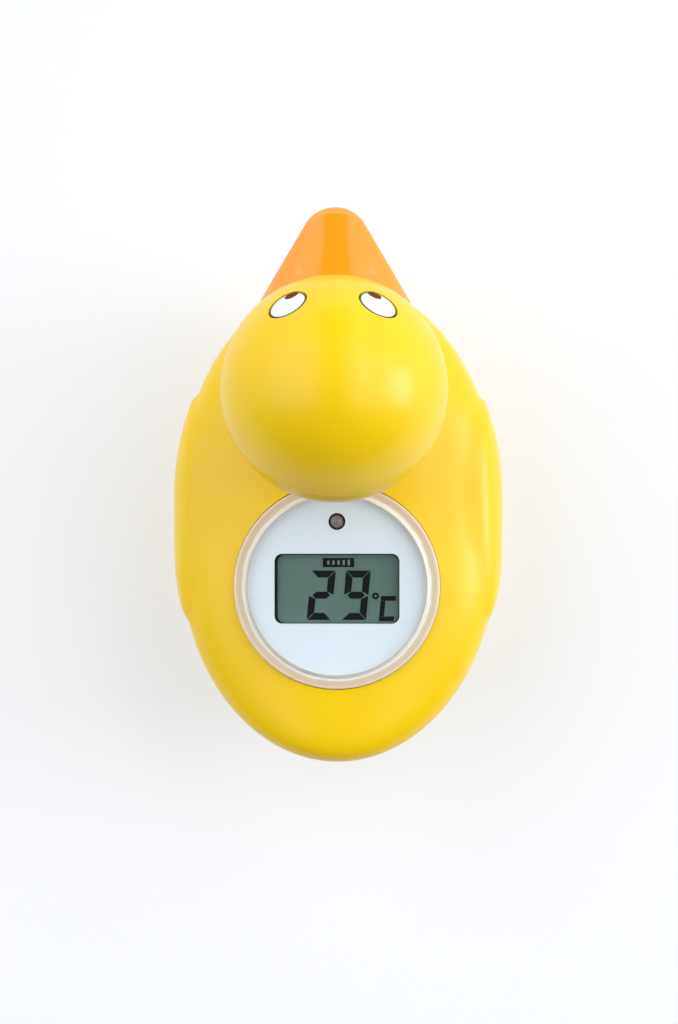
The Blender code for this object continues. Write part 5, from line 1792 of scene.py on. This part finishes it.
def screw_tree() -> NodeTree:
    """Builds the tree that sets a slotted screw on each point, with its slot turned at random.

    Returns:
        The Geometry Nodes tree.
    """
    tree = bpy.data.node_groups.new("slotted_screws", "GeometryNodeTree")
    given = group_inputs(tree, Places="Geometry", HeadRadius="Float", HeadHeight="Float", ShankRadius="Float",
                         Length="Float", SlotWidth="Float", SlotDepth="Float", Steel="Material")
    value = given.outputs

    def lifted(mesh: NodeSocket, height: Value) -> NodeSocket:
        """Moves a body up or down."""
        way = add_node(tree, "ShaderNodeCombineXYZ", inputs={"Z": height}).outputs["Vector"]
        return add_node(tree, "GeometryNodeTransform", inputs={
            "Geometry": mesh, "Translation": way}).outputs["Geometry"]

    head = add_node(tree, "GeometryNodeMeshCone", inputs={
        "Vertices": 48, "Radius Top": maths(tree, "MULTIPLY", value["HeadRadius"], 0.86),
        "Radius Bottom": value["HeadRadius"], "Depth": value["HeadHeight"]})
    reach = maths(tree, "ADD", value["Length"], maths(tree, "MULTIPLY", value["HeadHeight"], 0.5))
    shank = add_node(tree, "GeometryNodeMeshCylinder", inputs={
        "Vertices": 32, "Radius": value["ShankRadius"], "Depth": reach})
    body = add_node(tree, "GeometryNodeMeshBoolean", {"operation": "UNION", "solver": "EXACT"})
    tree.links.new(head.outputs["Mesh"], body.inputs["Mesh 2"])
    sunk = lifted(shank.outputs["Mesh"], maths(tree, "MULTIPLY", value["Length"], -0.5))
    tree.links.new(sunk, body.inputs["Mesh 2"])
    size = add_node(tree, "ShaderNodeCombineXYZ", inputs={
        "X": maths(tree, "MULTIPLY", value["HeadRadius"], 4.0), "Y": value["SlotWidth"],
        "Z": maths(tree, "MULTIPLY", value["SlotDepth"], 2.0)})
    slot = add_node(tree, "GeometryNodeMeshCube", inputs={"Size": size.outputs["Vector"]})
    slotted = add_node(tree, "GeometryNodeMeshBoolean", {"operation": "DIFFERENCE", "solver": "EXACT"}, {
        "Mesh 1": body.outputs["Mesh"]})
    tree.links.new(lifted(slot.outputs["Mesh"], value["HeadHeight"]), slotted.inputs["Mesh 2"])
    turn = add_node(tree, "FunctionNodeRandomValue", {"data_type": "FLOAT"}, {"Seed": 7})
    turn.inputs[3].default_value = math.pi
    angles = add_node(tree, "ShaderNodeCombineXYZ", inputs={"Z": turn.outputs[1]})
    placed = add_node(tree, "GeometryNodeInstanceOnPoints", inputs={
        "Points": value["Places"], "Instance": slotted.outputs["Mesh"], "Rotation": angles.outputs["Vector"]})
    real = add_node(tree, "GeometryNodeRealizeInstances", inputs={"Geometry": placed.outputs["Instances"]})
    steel = add_node(tree, "GeometryNodeSetMaterial", inputs={
        "Geometry": real.outputs["Geometry"], "Material": value["Steel"]})
    add_node(tree, "NodeGroupOutput", inputs={"Result": steel.outputs["Geometry"]})
    return tree


@dataclass
class Underside:
    """What shows in the base: housing, battery cover, screws, probe and water pins."""

    axis: Pair
    lift: float = 0.6 * MM
    housing_radius: float = 17.0 * MM
    housing_wall: float = 1.2 * MM
    housing_top: float = 41.1 * MM
    floor: float = 3.4 * MM
    flange_radius: float = 19.4 * MM
    flange: float = 1.6 * MM
    bay_back: float = 3.0 * MM
    bay_bore: float = 10.5 * MM
    cover_radius: float = 12.4 * MM
    cover: float = 1.5 * MM
    cover_screw_x: float = 13.4 * MM
    ear: float = 2.4 * MM
    seal_width: float = 1.2 * MM
    seal: float = 0.6 * MM
    boss_top: float = 6.15 * MM
    boss: float = 2.3 * MM
    probe_forward: float = 12.4 * MM
    probe_radius: float = 1.8 * MM
    probe_height: float = 6.4 * MM
    probe_lift: float = 0.3 * MM
    pin_spread: float = 6.0 * MM
    pin_forward: float = 11.6 * MM
    pin_radius: float = 0.9 * MM
    board_boss: Pair = (7.0 * MM, 11.6 * MM)
    board_boss_z: Pair = (26.3 * MM, 34.3 * MM)
    board_boss_radius: float = 2.4 * MM
    screw_radius: float = 0.7 * MM
    head_radius: float = 1.3 * MM
    head_height: float = 0.9 * MM
    slot: float = 0.4 * MM
    flange_soft: float = 0.3 * MM
    cover_soft: float = 0.15 * MM
    water_wall: float = 1.4 * MM
    pilot_floor: float = 1.0 * MM
    hole_roof: float = 0.6 * MM
    cover_screw_gap: float = 1.2 * MM
    board_top: float = 37.9 * MM
    board_screw_end: float = 29.3 * MM
    probe_wall: float = 0.3 * MM
    probe_soft: float = 0.8 * MM
    bore_soft: float = 0.6 * MM
    pin_soft: float = 0.25 * MM

    def at(self, x: float, y: float) -> Pair:
        """A place by its distance from the module's axis."""
        return (self.axis[0] + x, self.axis[1] + y)

    def cover_outline(self, grow_by: float) -> Profile:
        """The battery cover's outline: a round plate with an ear on each side.

        Args:
            grow_by: A clearance all round.

        Returns:
            The points in order.
        """
        ear, radius = self.ear + grow_by, self.cover_radius + grow_by
        edge = math.degrees(math.asin(ear / radius))
        outline = arc(self.at(self.cover_screw_x, self.bay_back), ear, -90, 90, 16)
        outline += arc(self.at(0.0, self.bay_back), radius, edge, 180 - edge, 48)
        outline += arc(self.at(-self.cover_screw_x, self.bay_back), ear, 90, 270, 16)
        outline += arc(self.at(0.0, self.bay_back), radius, 180 + edge, 360 - edge, 48)
        return outline

    def water_parts(self) -> list[tuple[str, Pair, float]]:
        """Name, place and radius of what passes through the floor."""
        return [("probe", self.at(0.0, -self.probe_forward), self.probe_radius),
                ("pin_1", self.at(-self.pin_spread, -self.pin_forward), self.pin_radius),
                ("pin_2", self.at(self.pin_spread, -self.pin_forward), self.pin_radius)]

    def build(self) -> None:
        """Builds and dresses every piece of the underside."""
        self.build_housing()
        self.build_cover()
        self.build_screws()
        self.build_probe()

    def build_housing(self) -> None:
        """Turns the tub, joins its bosses and cuts its openings."""
        inner = self.lift + self.floor
        bore = self.housing_radius - self.housing_wall
        flange_top = self.lift + self.flange
        soft = self.flange_soft
        profile = [(0.0, inner), (bore, inner), (bore, self.housing_top),
                   (self.housing_radius, self.housing_top), (self.housing_radius, flange_top)]
        profile += arc((self.flange_radius - soft, flange_top - soft), soft, 90, 0, 4)
        profile += arc((self.flange_radius - soft, self.lift + soft), soft, 0, -90, 4)
        profile += [(0.0, self.lift)]
        housing = lathe("module_tub", profile, self.axis, steps=160)
        x, y = self.board_boss
        low, high = self.board_boss_z
        corners = [self.at(side * x, end * y) for end in (-1, 1) for side in (-1, 1)]
        ears = [self.at(side * self.cover_screw_x, self.bay_back) for side in (1, -1)]
        bosses = [plug(f"boss_{i}", p, self.board_boss_radius, low, high) for i, p in enumerate(corners)]
        bosses += [plug(f"ear_{i}", p, self.boss, inner - GAP, self.boss_top) for i, p in enumerate(ears)]
        bosses += [plug(f"{n}_boss", p, r + self.water_wall, inner - GAP, self.boss_top)
                   for n, p, r in self.water_parts()]
        join(housing, *bosses)
        way = self.screw_radius + GAP
        ledge = self.lift + self.cover + GAP
        cuts = [prism("cover_recess", self.cover_outline(GAP), self.lift - MM, ledge)]
        middle = self.at(0.0, self.bay_back)
        cuts.append(plug("seal_seat", middle, self.bay_bore + self.seal_width + 2 * GAP, ledge - GAP,
                             ledge + self.seal + GAP, 96))
        cuts.append(plug("bay", middle, self.bay_bore, ledge - GAP, inner + 2 * MM, 96))
        end, roof = low + self.pilot_floor, self.boss_top - self.hole_roof
        cuts += [plug(f"pilot_{i}", p, way, end, high + GAP, 32) for i, p in enumerate(corners)]
        cuts += [plug(f"hole_{i}", p, way, self.lift, roof, 32) for i, p in enumerate(ears)]
        cuts += [plug(f"{n}_way", p, r + GAP, self.lift - MM, self.boss_top + MM)
                 for n, p, r in self.water_parts()]
        carve(housing, *cuts)
        dress(housing, Palette.HOUSING_ABS, "white_plastic", "module_housing")

    def build_cover(self) -> None:
        """Makes the battery cover with its sunk screw holes and rounded edges."""
        cover = prism("bay_cover", self.cover_outline(0.0), self.lift, self.lift + self.cover)
        seat = self.lift + self.head_height + GAP
        cuts = []
        for side in (1, -1):
            place = self.at(side * self.cover_screw_x, self.bay_back)
            cuts.append(plug(f"sink_{side}", place, self.head_radius + GAP, -GAP, seat))
            cuts.append(plug(f"shank_{side}", place, self.screw_radius + GAP, 0.0,
                             self.lift + 2 * self.cover, 32))
        carve(cover, *cuts)
        rounded(cover, self.cover_soft, 2)
        dress(cover, Palette.HOUSING_ABS, "white_plastic", "battery_cover")

    def build_screws(self) -> None:
        """Sets the cover screws from below and the board screws from above."""
        tree = screw_tree()
        cover_seat = self.lift + self.head_height
        ears = [(side * self.cover_screw_x, self.bay_back) for side in (-1, 1)]
        x, y = self.board_boss
        corners = [(side * x, end * y) for end in (-1, 1) for side in (-1, 1)]
        sets = [
            ("cover_screws", ears, cover_seat, True, self.boss_top - self.cover_screw_gap - cover_seat,
             ("cover_screw_1", "cover_screw_2")),
            ("board_screws", corners, self.board_top, False, self.board_top - self.board_screw_end,
             tuple(f"board_screw_{index}" for index in range(1, 5))),
        ]
        for name, places, seat, upside_down, length, nodes in sets:
            mesh = bpy.data.meshes.new(name)
            mesh.from_pydata([(x, -y if upside_down else y, 0.0) for x, y in places], [], [])
            obj = linked(name, mesh)
            place = Matrix.Translation((*self.axis, seat))
            if upside_down:
                place = place @ Matrix.Rotation(math.pi, 4, "X")
            grow(obj, tree, place, HeadRadius=self.head_radius, HeadHeight=self.head_height,
                 ShankRadius=self.screw_radius, Length=length, SlotWidth=self.slot, SlotDepth=self.slot,
                 Steel=Palette.STEEL.material())
            dress(obj, Palette.STEEL, "steel", *nodes)

    def build_probe(self) -> None:
        """Turns the steel probe cap and the two water pins."""
        low, top = self.probe_lift, self.probe_lift + self.probe_height
        bore, inner = self.probe_radius - self.probe_wall, low + self.probe_wall
        deep, soft = self.bore_soft, self.probe_soft
        profile = [(0.0, inner)] + arc((bore - deep, inner + deep), deep, -90, 0, 6)
        profile += [(bore, top), (self.probe_radius, top)]
        profile += arc((self.probe_radius - soft, low + soft), soft, 0, -90, 8) + [(0.0, low)]
        place = self.at(0.0, -self.probe_forward)
        dress(settle(lathe("probe_tip", profile, place, 64)), Palette.STEEL, "steel", "probe_cap")
        for index, side in enumerate((-1, 1), start=1):
            place = self.at(side * self.pin_spread, -self.pin_forward)
            soft = self.pin_soft
            profile = [(0.0, top), (self.pin_radius, top)]
            profile += arc((self.pin_radius - soft, low + soft), soft, 0, -90, 5) + [(0.0, low)]
            pin = settle(lathe(f"water_contact_{index}", profile, place, 48))
            dress(pin, Palette.STEEL, "steel", f"water_pin_{index}")


INNER_NODES: dict[str, Palette] = {
    "lcd_frame": Palette.BLACK_ABS, "zebra_strip": Palette.STRIP, "circuit_board": Palette.BOARD,
    "controller_chip": Palette.BLACK_ABS, "cover_seal": Palette.SEAL, "coin_cell": Palette.STEEL,
    "battery_tray": Palette.BLACK_ABS, "negative_contact": Palette.NICKEL, "positive_contact": Palette.NICKEL,
    "thermistor": Palette.BLACK_ABS, "probe_lead": Palette.LEAD_WHITE, "pin_lead_1": Palette.LEAD_BLUE,
    "pin_lead_2": Palette.LEAD_BLUE, "negative_lead": Palette.LEAD_BLACK, "positive_lead": Palette.LEAD_RED,
}


def dress_inner_nodes(nodes: dict[str, Object]) -> None:
    """Gives the nodes that keep their CAD mesh their finish.

    Args:
        nodes: The frame's nodes by name.
    """
    for name, finish in INNER_NODES.items():
        obj = nodes[name]
        obj.data.materials.clear()
        obj.data.materials.append(finish.material())
        log.info("%s keeps its mesh, %s", name, finish.value.name)


@dataclass(frozen=True)
class Softbox:
    """A rectangular soft lamp that faces the duck."""

    name: str
    across: float
    ahead: float
    distance: float
    size: Pair
    radiance: float
    colour: str = "F6FAFF"

    def hang(self, aim: Vector) -> None:
        """Hangs the lamp by its slants from straight above, towards +X and towards the beak.

        Args:
            aim: The point that it faces.
        """
        lamp = bpy.data.lights.new(self.name, "AREA")
        lamp.shape = "RECTANGLE"
        lamp.size, lamp.size_y = self.size
        lamp.energy = self.radiance * math.pi * self.size[0] * self.size[1]
        lamp.color = linear(self.colour)[:3]
        across, ahead = math.tan(math.radians(self.across)), math.tan(math.radians(self.ahead))
        out = Vector((across, -ahead, 1.0)).normalized()
        side = Vector((0.0, 1.0, 0.0)).cross(out).normalized()
        obj = linked(self.name, lamp)
        turned = Matrix((side, out.cross(side), out)).transposed()
        obj.matrix_world = Matrix.Translation(aim + self.distance * out) @ turned.to_4x4()


@dataclass
class Studio:
    """White table, softboxes with a dark gap over the duck, graded surroundings and the camera above."""

    eye: tuple[float, float, float] = (-8.0 * MM, 3.9 * MM, 450.0 * MM)
    target: tuple[float, float, float] = (-0.14 * MM, 3.9 * MM, 28.0 * MM)
    focal_pixels: float = 2100.0
    sensor: float = 36.0
    colour: str = "F6FAFF"
    right_light: float = 1.05
    left_light: float = 1.05
    dim_light: float = 0.12
    gap: float = 0.2
    floor_half: float = 3.0
    boxes: tuple[Softbox, ...] = (
        Softbox("right_box", -36.0, 15.0, 0.7, (0.52, 0.9), 0.9),
        Softbox("left_box", 40.0, 15.0, 0.7, (0.62, 0.9), 1.08),
        Softbox("front_strip", 0.0, 86.0, 0.7, (0.9, 0.08), 1.5),
        Softbox("right_window", -69.0, 8.0, 0.7, (0.32, 0.34), 6.0),
        Softbox("right_strip", -29.0, 17.0, 0.65, (0.06, 0.2), 5.0))

    def build(self) -> None:
        """Sets the table, the lamps, the surroundings and the camera."""
        self.build_table()
        for box in self.boxes:
            box.hang(Vector((0.0, 0.0, 40 * MM)))
        self.build_world()
        self.build_camera()
        view = bpy.context.scene.view_settings
        view.view_transform = "Standard"

    def build_table(self) -> None:
        """Lays a plain white floor under the duck, which shows as white wherever no shadow falls."""
        mesh = bpy.data.meshes.new("table")
        half = self.floor_half
        mesh.from_pydata([(-half, -half, 0.0), (half, -half, 0.0), (half, half, 0.0), (-half, half, 0.0)], [],
                         [(0, 1, 2, 3)])
        mesh.materials.append(Palette.PAPER.material())
        linked("table", mesh)

    def build_world(self) -> None:
        """Lights the duck from both sides and ahead, dim overhead and behind; the camera sees plain white."""
        world = bpy.data.worlds.new("studio_surroundings")
        bpy.context.scene.world = world
        world.use_nodes = True
        tree = world.node_tree
        tree.nodes.clear()
        path = add_node(tree, "ShaderNodeLightPath").outputs
        seen = maths(tree, "MAXIMUM", path["Is Camera Ray"], path["Is Transmission Ray"])
        way = add_node(tree, "ShaderNodeSeparateXYZ", inputs={
            "Vector": add_node(tree, "ShaderNodeTexCoord").outputs["Generated"]})
        level = self.dim_light
        for start, end, light in ((self.gap, self.gap * 1.4, self.left_light),
                                  (-self.gap, -self.gap * 1.4, self.right_light)):
            side = add_node(tree, "ShaderNodeMapRange", {"interpolation_type": "SMOOTHSTEP"}, {
                "Value": way.outputs["X"], "From Min": start, "From Max": end,
                "To Min": 0.0, "To Max": light})
            ahead = add_node(tree, "ShaderNodeMapRange", {"interpolation_type": "SMOOTHSTEP"}, {
                "Value": way.outputs["Y"], "From Min": 0.0, "From Max": 0.5, "To Min": 1.0, "To Max": 0.0})
            level = maths(tree, "MULTIPLY_ADD", side.outputs["Result"], ahead.outputs["Result"], level)
        soft = add_node(tree, "ShaderNodeBackground", inputs={
            "Color": linear(self.colour), "Strength": level})
        white = add_node(tree, "ShaderNodeBackground", inputs={"Color": linear("FFFFFF"), "Strength": 1.0})
        shown = mixed(tree, seen, soft.outputs["Background"], white.outputs["Background"])
        add_node(tree, "ShaderNodeOutputWorld", inputs={"Surface": shown})

    def build_camera(self) -> None:
        """Puts the camera above the duck, with the beak's end up in the picture."""
        data = bpy.data.cameras.new("camera")
        data.sensor_width = self.sensor
        data.lens = self.focal_pixels / IMAGE_HEIGHT * self.sensor
        camera = linked("camera", data)
        back = (Vector(self.eye) - Vector(self.target)).normalized()
        up = Vector((0.0, -1.0, 0.0))
        right = up.cross(back).normalized()
        turned = Matrix((right, back.cross(right), back)).transposed()
        camera.matrix_world = Matrix.Translation(self.eye) @ turned.to_4x4()
        data.clip_start, data.clip_end = 0.01, 20.0
        bpy.context.scene.camera = camera


def main() -> None:
    """Builds and dresses every sub-assembly."""
    logging.basicConfig(level=logging.INFO, format="%(name)s: %(message)s")
    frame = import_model()
    duck = VinylDuck()
    seat = ModuleSeat()
    beak = Beak(duck.head_centre, duck.head_radius)
    eyes = Eyes(duck.head_centre, duck.head_radius)
    duck.build(seat, beak, eyes)
    beak.build()
    eyes.build()
    WindowEnd(seat.axis).build()
    Display(seat.axis).build()
    Underside(seat.axis).build()
    dress_inner_nodes(frame["nodes"])
    Studio().build()


if __name__ == "__main__":
    main()
